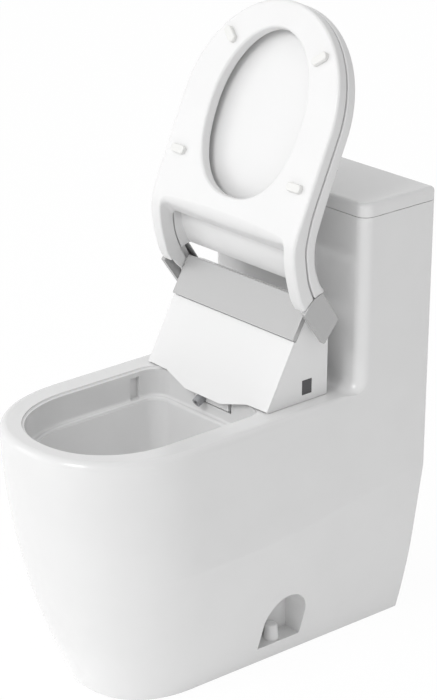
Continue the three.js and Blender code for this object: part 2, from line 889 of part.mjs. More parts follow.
function flushValve(group) {
  const base = tankFloorTop + seatGap;
  const socketTop = base + socketHeight;
  const seat = turned([[valveBore, base - valveShankDrop], [valveShank, base - valveShankDrop],
    [valveShank, base], [valveFlange, base], [valveFlange, flangeTop], [valveBore + valveLip * 2, flangeTop],
    [valveBore + valveLip * 2, flangeTop + valveLip], [valveBore, flangeTop + valveLip]], 0, valveDepth);
  const socketRadius = overflowRadius + socketWall;
  const channelHeight = (base + flangeTop) / 2;
  const bridge = box(valveShank, overflowSide, valveDepth - socketRadius / 2, valveDepth + socketRadius / 2,
    base, flangeTop);
  const seatWhole = cut(
    union(seat, bridge, rodZ(socketRadius, overflowSide, valveDepth, base, socketTop, smallFacets)),
    rodZ(overflowRadius + seatGap, overflowSide, valveDepth, flangeTop, socketTop + overrun, smallFacets),
    rodZ(socketChannel, overflowSide, valveDepth, channelHeight, socketTop, smallFacets),
    rodX(socketChannel, valveDepth, channelHeight, valveBore - overrun, overflowSide, smallFacets));
  piece(group, "flush_valve_seat", seatWhole, materials.innerPlastic);

  const tube = turned([[overflowRadius - overflowWall, flangeTop + seatGap], [overflowRadius, flangeTop + seatGap],
    [overflowRadius, overflowTop], [overflowRadius - overflowWall, overflowTop]],
  overflowSide, valveDepth, smallFacets);
  piece(group, "overflow_tube", tube, materials.innerPlastic);

  const inner = cageRadius - cageWall;
  const shell = turned([[inner, cageBottom], [cageRadius, cageBottom], [cageRadius, cageTop - cageWall],
    [cageRadius - cageWall, cageTop], [pistonRodRadius + runningGap, cageTop],
    [pistonRodRadius + runningGap, cageTop - cageWall], [inner, cageTop - cageWall]], 0, valveDepth);
  const windowTop = cageBottom + cageWall + cageWindow;
  const crossing = cageRadius + overrun;
  const windows = [
    box(-crossing, crossing, valveDepth - cageWindowHalf, valveDepth + cageWindowHalf,
      cageBottom + cageWall, windowTop),
    box(-cageWindowHalf, cageWindowHalf, valveDepth - crossing, valveDepth + crossing,
      cageBottom + cageWall, windowTop),
  ];
  piece(group, "flush_valve_cage", cut(shell, ...windows), materials.innerPlastic);

  const pistonRadius = inner - pistonGap;
  const pistonTop = pistonBottom + pistonHeight;
  piece(group, "flush_piston", turned([[0, pistonBottom], [pistonRadius, pistonBottom], [pistonRadius, pistonTop],
    [pistonRadius - cageWall, pistonTop], [pistonRadius - cageWall, pistonBottom + cageWall],
    [pistonRodRadius, pistonBottom + cageWall], [pistonRodRadius, pistonRodTop], [0, pistonRodTop]],
  0, valveDepth), materials.innerPlastic);
  piece(group, "flush_seal", turned([[valveBore - valveLip * 2, sealBottom], [pistonRadius, sealBottom],
    [pistonRadius, sealBottom + sealThickness], [valveBore - valveLip * 2, sealBottom + sealThickness]],
  0, valveDepth), materials.blueSeal);
}

// Fill valve: stem through the tank floor, head, float and the refill hose to the standpipe.
function fillValve(group) {
  const base = tankFloorTop + seatGap;
  const shankEnd = tankFloorTop - fillShankDrop;
  const stem = turned([[fillStemBore, shankEnd], [fillShankRadius, shankEnd], [fillShankRadius, base],
    [fillFlangeRadius, base], [fillFlangeRadius, base + fillFlangeHeight], [fillStemRadius, base + fillFlangeHeight],
    [fillStemRadius, fillStemTop], [fillStemBore, fillStemTop]], fillSide, valveDepth, smallFacets);
  piece(group, "fill_valve_stem", stem, materials.innerPlastic);

  const nutTop = tankFloorTop - tankFloorThickness - seatGap;
  const nut = rodZ(fillNutAcross / Math.sqrt(3), fillSide, valveDepth, nutTop - fillNutHeight, nutTop, 6);
  piece(group, "fill_valve_nut", cut(nut, rodZ(fillShankRadius + seatGap, fillSide, valveDepth,
    nutTop - fillNutHeight - overrun, nutTop + overrun, smallFacets)), materials.innerPlastic);

  const headBottom = fillStemTop + seatGap;
  const headTop = headBottom + fillHeadHeight;
  const nippleHeight = (headBottom + headTop) / 2;
  const nippleEnd = fillSide + fillHeadRadius + nippleLength;
  const head = turned([[0, headBottom], [fillHeadRadius, headBottom], [fillHeadRadius, headTop - moduleEdge],
    [fillHeadRadius - moduleEdge, headTop], [0, headTop]], fillSide, valveDepth);
  piece(group, "fill_valve_head", union(head,
    rodX(nippleRadius, valveDepth, nippleHeight, fillSide, nippleEnd, smallFacets)), materials.innerPlastic);

  const floatInner = fillStemRadius + floatBoreGap;
  const floatTop = floatBottom + floatHeight;
  piece(group, "fill_float", turned([[floatInner, floatBottom], [floatInner + floatWall, floatBottom],
    [floatInner + floatWall, floatTop - floatWall], [floatRadius - floatWall, floatTop - floatWall],
    [floatRadius - floatWall, floatBottom], [floatRadius, floatBottom], [floatRadius, floatTop],
    [floatInner, floatTop]], fillSide, valveDepth), materials.innerPlastic);

  const start = nippleEnd + seatGap;
  const bend = refillRadius * 4;
  const behind = valveDepth + rodSide * 3;
  const crown = overflowTop + bend;
  const route = (lead) => [
    [start - lead, valveDepth, nippleHeight],
    [start + bend / 2, valveDepth, nippleHeight],
    [start + bend * 2, (valveDepth + behind) / 2, (nippleHeight + crown) / 2],
    [0, behind, crown],
    [overflowSide - bend, (valveDepth + behind) / 2, crown],
    [overflowSide, valveDepth, overflowTop + refillRadius],
    [overflowSide, valveDepth, overflowTop - refillDip - lead],
  ];
  piece(group, "refill_hose", cut(swept(route(0), refillRadius, 24, 10), swept(route(overrun), refillBore, 24, 10)),
    materials.innerPlastic);
}

// Tank cover with its locating lip, and the dual push button let into it.
function tankCover(group) {
  const bottom = tankHeight - lidThickness;
  const plan = (inset) => roundedRectangle(-bodyHalf + inset, bodyHalf - inset, tankFront + inset,
    bodyBack - inset, tankCorner - inset);
  const ring = (inset, height) => plan(inset).getPoints(cornerFacets * 2)
    .slice(0, -1).map((p) => new THREE.Vector3(p.x, p.y, height));
  const outer = loft([
    ring(1, bottom),
    ring(0, bottom + 1),
    ...roundingSteps(lidEdge, 3).map(([rise, inset]) => ring(inset, tankHeight - lidEdge + rise)),
  ]);
  const lipOuter = tankWall + lipClearance;
  const pocket = alongZ(roundedRectangle(-bodyHalf + lipOuter + lipWall, bodyHalf - lipOuter - lipWall,
    tankFront + lipOuter + lipWall, bodyBack - lipOuter - lipWall, tankCavityCorner - lipWall),
  bottom - lipDepth - overrun, tankHeight - lidSkin);
  const lip = alongZ(roundedRectangle(-bodyHalf + lipOuter, bodyHalf - lipOuter,
    tankFront + lipOuter, bodyBack - lipOuter, tankCavityCorner - lipClearance), bottom - lipDepth, bottom + 1);
  const buttonHole = rodZ(buttonRadius + bezelWall + 2 * seatGap, 0, valveDepth, bottom - overrun,
    tankHeight + overrun);
  piece(group, "tank_lid", cut(union(outer, lip), pocket, buttonHole), materials.ceramic);

  const bezelInner = buttonRadius + seatGap;
  const bezelOuter = bezelInner + bezelWall;
  const flangeBottom = tankHeight + seatGap;
  const bezelTop = flangeBottom + bezelFlangeThickness;
  piece(group, "button_bezel", turned([[bezelInner, bezelTop - bezelDepth], [bezelOuter, bezelTop - bezelDepth],
    [bezelOuter, flangeBottom], [bezelOuter + bezelFlange, flangeBottom],
    [bezelOuter + bezelFlange - bezelFlangeThickness / 2, bezelTop], [bezelInner, bezelTop]], 0, valveDepth),
  materials.chrome);
  const nutTop = tankHeight - lidSkin - seatGap;
  piece(group, "bezel_nut", turned([[bezelOuter + seatGap, nutTop - bezelNutHeight],
    [bezelOuter + bezelNutWall, nutTop - bezelNutHeight], [bezelOuter + bezelNutWall, nutTop],
    [bezelOuter + seatGap, nutTop]], 0, valveDepth), materials.innerPlastic);
  return bezelTop;
}

// One half of the round button, cut along the dividing line, and its push rod.
function buttonHalf(group, name, side, top) {
  const bottom = top + buttonProud - buttonHeight;
  const shape = new THREE.Shape();
  const split = buttonSplit + side * seatGap;
  const start = Math.acos(split / buttonRadius);
  if (side > 0) shape.absarc(0, 0, buttonRadius, -start, start);
  else shape.absarc(0, 0, buttonRadius, start, 2 * Math.PI - start);
  const half = prism(shape, buttonHeight, 1, wideArcFacets).translate(0, valveDepth, bottom);
  piece(group, `${name}_button`, solidOf(half), materials.chrome);
  const rodBottom = cageTop + buttonTravel + 1;
  const x = side * rodSide;
  piece(group, `${name}_push_rod`, rodZ(rodRadius, x, valveDepth, rodBottom, bottom - seatGap, smallFacets),
    materials.innerPlastic);
}

// Ring and lid: side curves in closed position, as shares of the hinge's depth and of its rise above the rim.
const ringBottomShares = [
  [-0.7806, 0.061],
  [-0.3903, 0.061],
  [0.0694, 0.0801],
  [0.2836, 0.1526],
  [0.5056, 0.2754],
  [0.7528, 0.4455],
  [0.856, 0.5507],
  [0.9757, 0.7208],
];
const ringTopShares = [
  [-0.7806, 0.2182],
  [-0.3469, 0.2182],
  [-0.0382, 0.2525],
  [0.1561, 0.3005],
  [0.3408, 0.3913],
  [0.5308, 0.5072],
  [0.7034, 0.6667],
  [0.8413, 0.8207],
];
const coverTopShares = [
  [-0.7806, 0.3829],
  [-0.2359, 0.3982],
  [-0.0052, 0.4203],
  [0.1596, 0.4744],
  [0.3166, 0.5545],
  [0.4718, 0.6842],
  [0.5672, 0.8101],
  [0.6245, 0.9245],
];

// Points spread evenly along a smooth side curve, moved sideways by an offset where one is given.
function curvePoints(shares, count, offset = 0) {
  const path = new THREE.SplineCurve(shares.map(([y, z]) =>
    new THREE.Vector2(y * hingeDepth, rimHeight + z * hingeRise)));
  return Array.from({ length: count + 1 }, (_, i) => {
    const at = path.getPointAt(i / count);
    const along = path.getTangentAt(i / count);
    return at.add(new THREE.Vector2(-along.y, along.x).multiplyScalar(offset));
  });
}

const noseDegrees = [87, 80, 71, 60, 48, 36, 24, 12, 0];
const tailSteps = 11;

// Stations of a ring-shaped plate from its nose to its legs: a lower and an upper point and a half width.
function stations(lower, upper, noseDrop, grow) {
  const nose = noseDegrees.map((degrees) => {
    const angle = THREE.MathUtils.degToRad(degrees);
    const y = -ringWidestAhead - (ringReach + grow) * Math.sin(angle);
    const drop = noseDrop * Math.sin(angle) ** 4;
    return {
      low: new THREE.Vector2(y, lower[0].y),
      high: new THREE.Vector2(y, upper[0].y - drop),
      half: (ringHalf + grow) * Math.cos(angle),
    };
  });
  const tail = lower.map((low, i) => ({ low, high: upper[i], half: ringHalf + grow }));
  return [...nose, ...tail];
}

// Closed section across a station, given half of it as distances from the middle and above the lower point.
function acrossStation({ low, high }, halfSection) {
  const thickness = low.distanceTo(high);
  const up = high.clone().sub(low).divideScalar(thickness);
  const place = ([x, h]) => new THREE.Vector3(x, low.x + up.x * h, low.y + up.y * h);
  const right = halfSection.map(place);
  const left = halfSection.slice(1, -1).reverse().map(([x, h]) => place([-x, h]));
  return [...right, ...left];
}

function corner(x, h, radius, startDegrees) {
  return [0, 30, 60, 90].map((step) => {
    const angle = THREE.MathUtils.degToRad(startDegrees + step);
    return [x + radius * Math.cos(angle), h + radius * Math.sin(angle)];
  });
}

function ringSection(station) {
  const thickness = station.low.distanceTo(station.high);
  const radius = Math.min(ringRounding, station.half / 2);
  return acrossStation(station, [
    [0, 0],
    ...corner(station.half - radius, radius, radius, -90),
    ...corner(station.half - radius, thickness - radius, radius, 0),
    [0, thickness],
  ]);
}

// The lid is a shell: a dish under its middle, which opens towards the back to clear the washing unit.
function coverSection(station, i, all) {
  const { smoothstep, lerp } = THREE.MathUtils;
  const thickness = station.low.distanceTo(station.high);
  const top = Math.min(coverRounding, station.half / 2);
  const bottom = Math.min(coverBottomRounding, station.half / 4);
  const tail = smoothstep(i, noseDegrees.length, all.length - tailSteps / 2);
  const inner = Math.max(lerp(station.half - coverBorder, coverLegInner, tail), station.half * 0.1);
  const slope = Math.min(lerp(coverSlope, slotGap, tail), inner / 2);
  const room = smoothstep(station.half - coverBorder, 0, coverBorder);
  const dish = lerp(coverDish * room, thickness - coverSkin, tail);
  return acrossStation(station, [
    [0, dish],
    [inner - slope, dish],
    [inner - slope / 3, dish * 0.6],
    [inner, 0],
    ...corner(station.half - bottom, bottom, bottom, -90),
    ...corner(station.half - top, thickness - top, top, 0),
    [0, thickness],
  ]);
}

// Hole of the ring, whose edges are rounded over.
function ringHole() {
  const low = rimHeight + ringClear;
  const high = low + ringThickness;
  const outline = (grow, height) => Array.from({ length: fineFacets }, (_, i) => {
    const angle = (2 * Math.PI * i) / fineFacets;
    const rear = Math.sin(angle) > 0;
    const power = 2 / (rear ? holePower : 2);
    const x = Math.sign(Math.cos(angle)) * Math.abs(Math.cos(angle)) ** power;
    const y = Math.sign(Math.sin(angle)) * Math.abs(Math.sin(angle)) ** power;
    return new THREE.Vector3((holeHalf + grow) * x,
      -holeAhead + ((rear ? holeBackReach : holeFrontReach) + grow) * y, height);
  });
  const steps = roundingSteps(holeRounding, 3);
  return loft([
    outline(holeRounding, low - overrun),
    ...steps.map(([rise, inset]) => outline(holeRounding - inset, low + holeRounding - (holeRounding - rise) - 0)),
    ...steps.map(([rise, inset]) => outline(holeRounding - inset, high - rise)).reverse(),
    outline(holeRounding, high + overrun),
  ].filter((ring, i, all) => i === 0 || ring[0].z > all[i - 1][0].z));
}

const seamCut = () => rodX(seamRadius + seamGap, hingeDepth, hingeHeight, -bodyWidth, bodyWidth, seamFacets);

// Arm from a leg to its hub on the hinge shaft; its corners are shares of the seam radius from the axis.
function hingeArm(shares, from, to, bore) {
  const outline = shares.map(([y, z]) => [hingeDepth + y * seamRadius, hingeHeight + z * seamRadius]);
  const arm = alongX(shapeOf(outline), from, to);
  const hub = rodX(hubRadius, hingeDepth, hingeHeight, from, to);
  return cut(union(arm, hub), bore);
}

const ringArmShares = [
  [-0.3018, -1.06],
  [-0.1055, -0.6545],
  [-0.04, -0.4545],
  [0.1636, -0.1636],
  [-0.2193, 0.0975],
  [-0.3636, -0.4727],
  [-0.6091, -0.8455],
];
const coverArmShares = [
  [-0.7, -0.8273],
  [-0.0364, -0.2309],
  [-0.2193, 0.0855],
  [-0.7909, -0.6455],
];

const mirrored = (side, inner, outer) => (side < 0 ? [-outer, -inner] : [inner, outer]);

function seatRing(group) {
  const lower = curvePoints(ringBottomShares, tailSteps);
  const upper = curvePoints(ringTopShares, tailSteps);
  const plate = loft(stations(lower, upper, 0, 0).map(ringSection));
  const low = rimHeight + ringClear;
  const lean = (bridgeBackTop - bridgeBackBottom) / bridgeChamferRise;
  const openRing = (height) => {
    const front = bridgeBackBottom + lean * (height - low);
    return roundedRectangle(-ringLegInner, ringLegInner, front, farAway, bridgeCorner)
      .getPoints(cornerFacets * 2).slice(0, -1).map((p) => new THREE.Vector3(p.x, p.y, height));
  };
  const between = loft([openRing(low - ringThickness), openRing(hingeHeight)]);
  let ring = cut(plate, ringHole(), between, seamCut());
  for (const side of [-1, 1]) {
    const [from, to] = mirrored(side, ringArmInner, ringArmInner + armThickness);
    const bore = rodX(bushRadius + runningGap, hingeDepth, hingeHeight, from - overrun, to + overrun);
    ring = union(ring, hingeArm(ringArmShares, from, to, bore));
  }
  piece(group, "seat_ring", ring, materials.seatPlastic);

  const bumpers = [
    ["rear", bumperRearSide, bumperRearAhead, 0],
    ["front", bumperFrontSide, bumperFrontAhead, bumperFrontTurn],
  ];
  for (const [end, x, ahead, turn] of bumpers) {
    for (const [name, side] of [["left", -1], ["right", 1]]) {
      const shape = roundedRectangle(-bumperLength / 2, bumperLength / 2, -bumperWidth / 2, bumperWidth / 2,
        bumperWidth / 2 - bumperRounding / 2);
      const angle = -side * THREE.MathUtils.degToRad(turn);
      const solid = solidOf(prism(shape, ringClear - 2 * seatGap, bumperRounding)
        .rotateZ(angle).translate(side * x, -ahead, rimHeight + seatGap));
      piece(group, `ring_bumper_${end}_${name}`, solid, materials.paleRubber);
    }
  }
}

function seatCover(group) {
  const lower = curvePoints(ringTopShares, tailSteps, coverGap);
  const upper = curvePoints(coverTopShares, tailSteps);
  const plate = loft(stations(lower, upper, coverRounding / 2, 0).map(coverSection));
  let cover = cut(plate, seamCut());
  const armInner = ringArmInner + armThickness + 2 * runningGap;
  for (const side of [-1, 1]) {
    const [from, to] = mirrored(side, armInner, armInner + armThickness);
    cover = union(cover, hingeArm(coverArmShares, from, to, shaftBore(from - overrun, to + overrun)));
  }
  piece(group, "seat_lid", cover, materials.seatPlastic);
  const padBottom = rimHeight + ringClear + ringThickness + seatGap;
  for (const [name, side] of [["left", -1], ["right", 1]]) {
    piece(group, `lid_pad_${name}`, rodZ(padRadius, side * padSide, -padAhead, padBottom,
      padBottom + coverGap - 2 * seatGap, smallFacets), materials.paleRubber);
  }
}

// The shaft is round with one flat, which turns it with the lid and the caps.
function shaftShape(grow) {
  const radius = shaftRadius + grow;
  const flat = shaftFlat + grow;
  const start = Math.acos(flat / radius);
  const shape = new THREE.Shape();
  shape.absarc(hingeDepth, hingeHeight, radius, start, 2 * Math.PI - start);
  return shape;
}

const shaftBore = (from, to) => alongX(shaftShape(seatGap), from, to, 0, wideArcFacets);

// Corners of the hinge cap from the axis, closed, as shares of the seam radius, and how far towards its rear
// corner the wall behind its plate runs.
const capShares = {
  front: [-0.8455, -0.5636],
  top: [-0.2345, 0.3945],
  rear: [0.5636, 0.1527],
  under: [-0.0982, -0.9055],
};
const capWallShare = 0.72;

function hingeCaps(group) {
  piece(group, "lid_shaft", alongX(shaftShape(0), -shaftHalf, shaftHalf, 0, wideArcFacets), materials.steel);
  const place = ([y, z]) => new THREE.Vector2(hingeDepth + y * seamRadius, hingeHeight + z * seamRadius);
  const [front, top, rear, under] = ["front", "top", "rear", "under"].map((key) => place(capShares[key]));
  const axis = new THREE.Vector2(hingeDepth, hingeHeight);
  const angleOf = (p) => Math.atan2(p.y - axis.y, p.x - axis.x);
  const shape = new THREE.Shape();
  shape.absarc(axis.x, axis.y, seamRadius - seamGap, angleOf(front), angleOf(under));
  const toward = (from, to, length) => from.clone().add(to.clone().sub(from).setLength(length));
  for (const [before, at, after] of [[under, rear, top], [rear, top, front]]) {
    const enter = toward(at, before, capRounding);
    const leave = toward(at, after, capRounding);
    shape.lineTo(enter.x, enter.y);
    shape.quadraticCurveTo(at.x, at.y, leave.x, leave.y);
  }
  const inward = (from, to) => {
    const along = to.clone().sub(from).normalize();
    return new THREE.Vector2(along.y, -along.x).multiplyScalar(capShell);
  };
  const frontStep = inward(front, top);
  const topStep = inward(top, rear);
  const cutFront = toward(front, top, -seamRadius).add(frontStep);
  const cutRear = toward(rear, top, -seamRadius).add(topStep);
  const alongFront = top.clone().sub(front);
  const alongTop = rear.clone().sub(top);
  const a = top.clone().add(frontStep);
  const b = top.clone().add(topStep);
  const share = (b.clone().sub(a)).cross(alongTop) / alongFront.cross(alongTop);
  const cutTop = a.addScaledVector(alongFront, share);
  const inside = shapeOf([cutFront, cutTop, cutRear, new THREE.Vector2(rear.x + seamRadius, under.y - seamRadius),
    new THREE.Vector2(front.x - seamRadius, under.y - seamRadius)].map((p) => [p.x, p.y]));
  const wallEnd = top.clone().lerp(rear, capWallShare).addScaledVector(topStep, -1);
  const behind = shapeOf([wallEnd, wallEnd.clone().addScaledVector(topStep, seamRadius),
    new THREE.Vector2(rear.x + seamRadius, under.y - seamRadius),
    new THREE.Vector2(rear.x + seamRadius, top.y)].map((p) => [p.x, p.y]));
  for (const [name, side] of [["left", -1], ["right", 1]]) {
    const whole = alongX(shape, ...mirrored(side, capInnerHalf, capFaceHalf), 1);
    const rearRoom = alongX(behind, ...mirrored(side, capInnerHalf - overrun, capFaceHalf - capPlate));
    const room = alongX(inside, ...mirrored(side, capInnerHalf - overrun, capFaceHalf - capPlate));
    const hole = shaftBore(...mirrored(side, capInnerHalf, shaftHalf + seatGap));
    piece(group, `hinge_cap_${name}`, cut(whole, room, rearRoom, hole), materials.bandMetal);
  }
}

// Washing unit: side profile of its casing in depth and height.
const bandBottom = new THREE.Vector2(bandBottomDepth, rimHeight + bandBottomRise);
const bandTop = new THREE.Vector2(bandTopDepth, rimHeight + bandTopRise);
const bandAlong = bandTop.clone().sub(bandBottom).normalize();
const bandInward = new THREE.Vector2(bandAlong.y, -bandAlong.x);
const panelBottom = new THREE.Vector2(panelBottomDepth, rimHeight + panelClear);
const panelTop = bandBottom.clone().addScaledVector(bandInward, panelRecess).addScaledVector(bandAlong, -2 * seatGap);
const panelAlong = panelTop.clone().sub(panelBottom).normalize();
const panelInward = new THREE.Vector2(panelAlong.y, -panelAlong.x);

function housingShell(group) {
  const behindPanel = panelThickness + seatGap;
  const p0 = panelBottom.clone().addScaledVector(panelInward, behindPanel);
  const p1 = panelTop.clone().addScaledVector(panelInward, behindPanel);
  const b0 = bandBottom.clone().addScaledVector(bandInward, bandThickness + seatGap);
  const b1 = bandTop.clone().addScaledVector(bandInward, bandThickness + seatGap);
  const bottom = rimHeight + housingClear;
  const topBack = rimHeight + housingTopBackRise;
  const outline = new THREE.Shape();
  outline.moveTo(p0.x + (bottom - p0.y) * (panelAlong.x / panelAlong.y), bottom);
  outline.lineTo(housingBack, bottom);
  outline.lineTo(housingBack, topBack - housingTopCorner);
  outline.quadraticCurveTo(housingBack, topBack, housingBack - housingTopCorner, topBack + housingWall);
  outline.lineTo(b1.x, b1.y);
  outline.lineTo(b0.x, b0.y);
  outline.lineTo(p1.x, p1.y);
  const inside = shapeOf([
    [-housingBack, bottom - overrun],
    [housingBack - housingWall, bottom - overrun],
    [housingBack - housingWall, topBack - housingTopCorner],
    [housingBack - housingTopCorner, topBack],
    [b1.x, b1.y - housingWall],
    [bandBottom.x, rimHeight + 2 * bandTopRise],
    [-housingBack, rimHeight + 2 * bandTopRise],
  ]);
  const windowCut = box(housingHalf - windowThickness - seatGap, housingHalf + overrun,
    windowDepth - seatGap, windowDepth + windowWidth + seatGap,
    rimHeight + windowRise - seatGap, rimHeight + windowRise + windowHeight + seatGap);
  const shell = cut(
    alongX(outline, -housingHalf, housingHalf),
    alongX(inside, -housingHalf + housingWall, housingHalf - housingWall),
    rodX(bushRadius + seatGap, hingeDepth, hingeHeight, -bodyWidth, bodyWidth),
    windowCut,
    rodY(inletRadius + seatGap, inletSide, rimHeight + inletRise, housingBack - housingWall - overrun,
      housingBack + overrun, smallFacets));
  piece(group, "housing_shell", shell, materials.seatPlastic);
  piece(group, "receiver_window", box(housingHalf - windowThickness, housingHalf + seatGap,
    windowDepth, windowDepth + windowWidth, rimHeight + windowRise, rimHeight + windowRise + windowHeight),
  materials.window);
}

// A shape drawn across the unit and up a sloping face, given its lower line, direction and inward normal.
function onSlope(shape, origin, along, inward, thickness, bevel = 0) {
  const turn = new THREE.Matrix4().makeBasis(
    new THREE.Vector3(1, 0, 0), new THREE.Vector3(0, along.x, along.y),
    new THREE.Vector3(0, -inward.x, -inward.y));
  return solidOf(prism(shape, thickness, bevel).translate(0, 0, -thickness).applyMatrix4(turn)
    .translate(0, origin.x, origin.y));
}

function panelAndBand(group) {
  const height = panelTop.distanceTo(panelBottom);
  const drop = bulgeDrop / panelAlong.y;
  const shoulder = (bulgeHalf + bulgeEnd) / 2;
  const shape = new THREE.Shape();
  shape.moveTo(-housingHalf, panelEdgeRise);
  shape.lineTo(-bulgeEnd, 0);
  shape.bezierCurveTo(-shoulder, 0, -shoulder, -drop, -bulgeHalf, -drop);
  shape.lineTo(bulgeHalf, -drop);
  shape.bezierCurveTo(shoulder, -drop, shoulder, 0, bulgeEnd, 0);
  shape.lineTo(housingHalf, panelEdgeRise);
  shape.lineTo(housingHalf, height);
  shape.lineTo(-housingHalf, height);
  piece(group, "front_panel", onSlope(shape, panelBottom, panelAlong, panelInward, panelThickness),
    materials.seatPlastic);

  const length = bandTop.distanceTo(bandBottom);
  const plate = onSlope(roundedRectangle(-housingHalf, housingHalf, 0, length, 2), bandBottom, bandAlong,
    bandInward, bandThickness, 0.8);
  const hollowStart = bandBottom.clone().addScaledVector(bandInward, bandSkin);
  const hollow = onSlope(roundedRectangle(-housingHalf + bandRim, housingHalf - bandRim, bandRim,
    length - bandRim, 2), hollowStart, bandAlong, bandInward, bandThickness);
  piece(group, "trim_band", cut(plate, hollow), materials.bandMetal);
}

// Bushes in the side walls, which carry the hubs of the ring, and dampers on the shaft.
function hingeBearings(group) {
  const bore = shaftRadius + runningGap;
  const inside = housingHalf - housingWall - seatGap;
  for (const [name, side] of [["left", -1], ["right", 1]]) {
    const bush = [[bore, inside - bushFlange], [bushFlangeRadius, inside - bushFlange], [bushFlangeRadius, inside],
      [bushRadius, inside], [bushRadius, bushOuterHalf], [bore, bushOuterHalf]].map(([r, x]) => [r, side * x]);
    piece(group, `bearing_bush_${name}`, turnedOnHinge(bush), materials.innerPlastic);
    const [from, to] = mirrored(side, damperInner, damperInner + damperLength);
    const roofBack = housingBack - housingTopCorner;
    const roofFront = bandTopDepth + (bandThickness + seatGap) * bandInward.x;
    const roofFrontHeight = bandTop.y + (bandThickness + seatGap) * bandInward.y - housingWall;
    const roof = (y) => THREE.MathUtils.mapLinear(y, roofFront, roofBack, roofFrontHeight,
      rimHeight + housingTopBackRise) - seatGap;
    const [y0, y1] = [hingeDepth - damperBracketHalf / 2, hingeDepth + damperBracketHalf];
    const bracket = alongX(shapeOf([[y0, hingeHeight], [y1, hingeHeight], [y1, roof(y1)], [y0, roof(y0)]]), from, to);
    const body = rodX(damperRadius, hingeDepth, hingeHeight, from, to);
    piece(group, `hinge_damper_${name}`, cut(union(body, bracket),
      rodX(bore, hingeDepth, hingeHeight, from - overrun, to + overrun)), materials.innerPlastic);
  }
}

// Fixing plate, bolts and expanding sleeves in the deck, and the tray that clips on the plate.
const plateTop = rimHeight + seatGap + plateThickness;
const trayBottom = plateTop + seatGap + fixingHeadHeight + seatGap;
const trayTop = trayBottom + trayThickness;

function unitFixing(group) {
  const plate = alongZ(roundedRectangle(-plateHalf, plateHalf, plateFront, plateBack, plateCorner),
    rimHeight + seatGap, plateTop);
  const holes = [-1, 1].map((side) => rodZ(fixingRadius + seatGap, side * fixingSide, fixingDepth,
    rimHeight - overrun, plateTop + overrun, smallFacets));
  piece(group, "mounting_plate", cut(plate, ...holes), materials.steel);

  const headBottom = plateTop + seatGap;
  const sleeveEnd = deckUnderside - sleeveDrop;
  for (const [name, side] of [["left", -1], ["right", 1]]) {
    const x = side * fixingSide;
    piece(group, `fixing_bolt_${name}`, turned([[0, headBottom - fixingLength], [fixingRadius, headBottom - fixingLength],
      [fixingRadius, headBottom], [fixingHead, headBottom], [fixingHead, headBottom + fixingHeadHeight],
      [0, headBottom + fixingHeadHeight]], x, fixingDepth, smallFacets), materials.steel);
    piece(group, `fixing_sleeve_${name}`, turned([[fixingRadius + seatGap, sleeveEnd], [sleeveRadius, sleeveEnd],
      [sleeveBulge, sleeveEnd + sleeveDrop / 2], [sleeveBulge, deckUnderside - seatGap],
      [sleeveRadius, deckUnderside - seatGap], [sleeveRadius, rimHeight], [fixingRadius + seatGap, rimHeight]],
    x, fixingDepth, smallFacets), materials.rubber);
  }

  const clear = seatGap + housingWall;
  const trayPlate = box(-housingHalf + clear, housingHalf - clear, trayFront + clear, housingBack - clear,
    trayBottom, trayTop);
  const nozzleGate = box(shroudLeft - pocketMargin, shroudRight + pocketMargin, 0, trayGateBack,
    trayBottom - overrun, trayTop + overrun);
  const feet = [-1, 1].map((side) => box(
    side * trayFootSide - trayFootHalf, side * trayFootSide + trayFootHalf,
    fixingDepth - trayFootHalf, fixingDepth + trayFootHalf, plateTop + seatGap, trayBottom + 1));
  piece(group, "base_tray", union(cut(trayPlate, nozzleGate), ...feet), materials.innerPlastic);
}

// Everything on the nozzle line is drawn along +Z and then laid on the slope, front end first.
function onNozzleLine(solidGeometry) {
  return solidGeometry.rotateX(nozzleRadians - Math.PI / 2)
    .translate(nozzleSide, nozzleDepth, rimHeight - nozzleDrop);
}

function nozzleUnit(group) {
  const line = (radius, from, to) => solidOf(onNozzleLine(
    new THREE.CylinderGeometry(radius, radius, to - from, smallFacets)
      .rotateX(Math.PI / 2).translate(0, 0, from + (to - from) / 2)));
  const wandStart = tipLength + seatGap;
  const wandEnd = wandStart + wandLength;
  piece(group, "nozzle_wand", line(wandRadius, wandStart, wandEnd), materials.chrome);
  const tip = cut(line(tipRadius, 0, tipLength), line(tipPort, -overrun, tipPortDepth));
  piece(group, "nozzle_tip", tip, materials.innerPlastic);

  const guideEnd = guideStart + guideLength;
  const sleeve = solidOf(onNozzleLine(prism(
    roundedRectangle(-guideHalf, guideHalf, -guideHalf, guideHalf, 2), guideLength).translate(0, 0, guideStart)));
  const shroud = box(shroudLeft, shroudRight, shroudFront, shroudFront + shroudThickness,
    rimHeight - shroudBottomDrop, rimHeight + shroudTopRise);
  const foot = box(nozzleSide - guideHalf, nozzleSide + guideHalf, trayGateBack + 1,
    trayGateBack + guideFootDepth, trayTop + seatGap, trayTop + guideFootHeight);
  const guide = cut(union(sleeve, shroud, foot), line(tipRadius + runningGap, -wandEnd, guideStart),
    line(wandRadius + runningGap, 0, guideEnd + overrun));
  piece(group, "nozzle_guide", guide, materials.seatPlastic);

  const motorBottom = guideHalf + seatGap;
  const motor = solidOf(onNozzleLine(prism(
    roundedRectangle(-motorHalf, motorHalf, -motorBottom - motorHeight, -motorBottom, moduleEdge), motorLength)
    .translate(0, 0, motorStart)));
  piece(group, "nozzle_motor", motor, materials.innerPlastic);
}

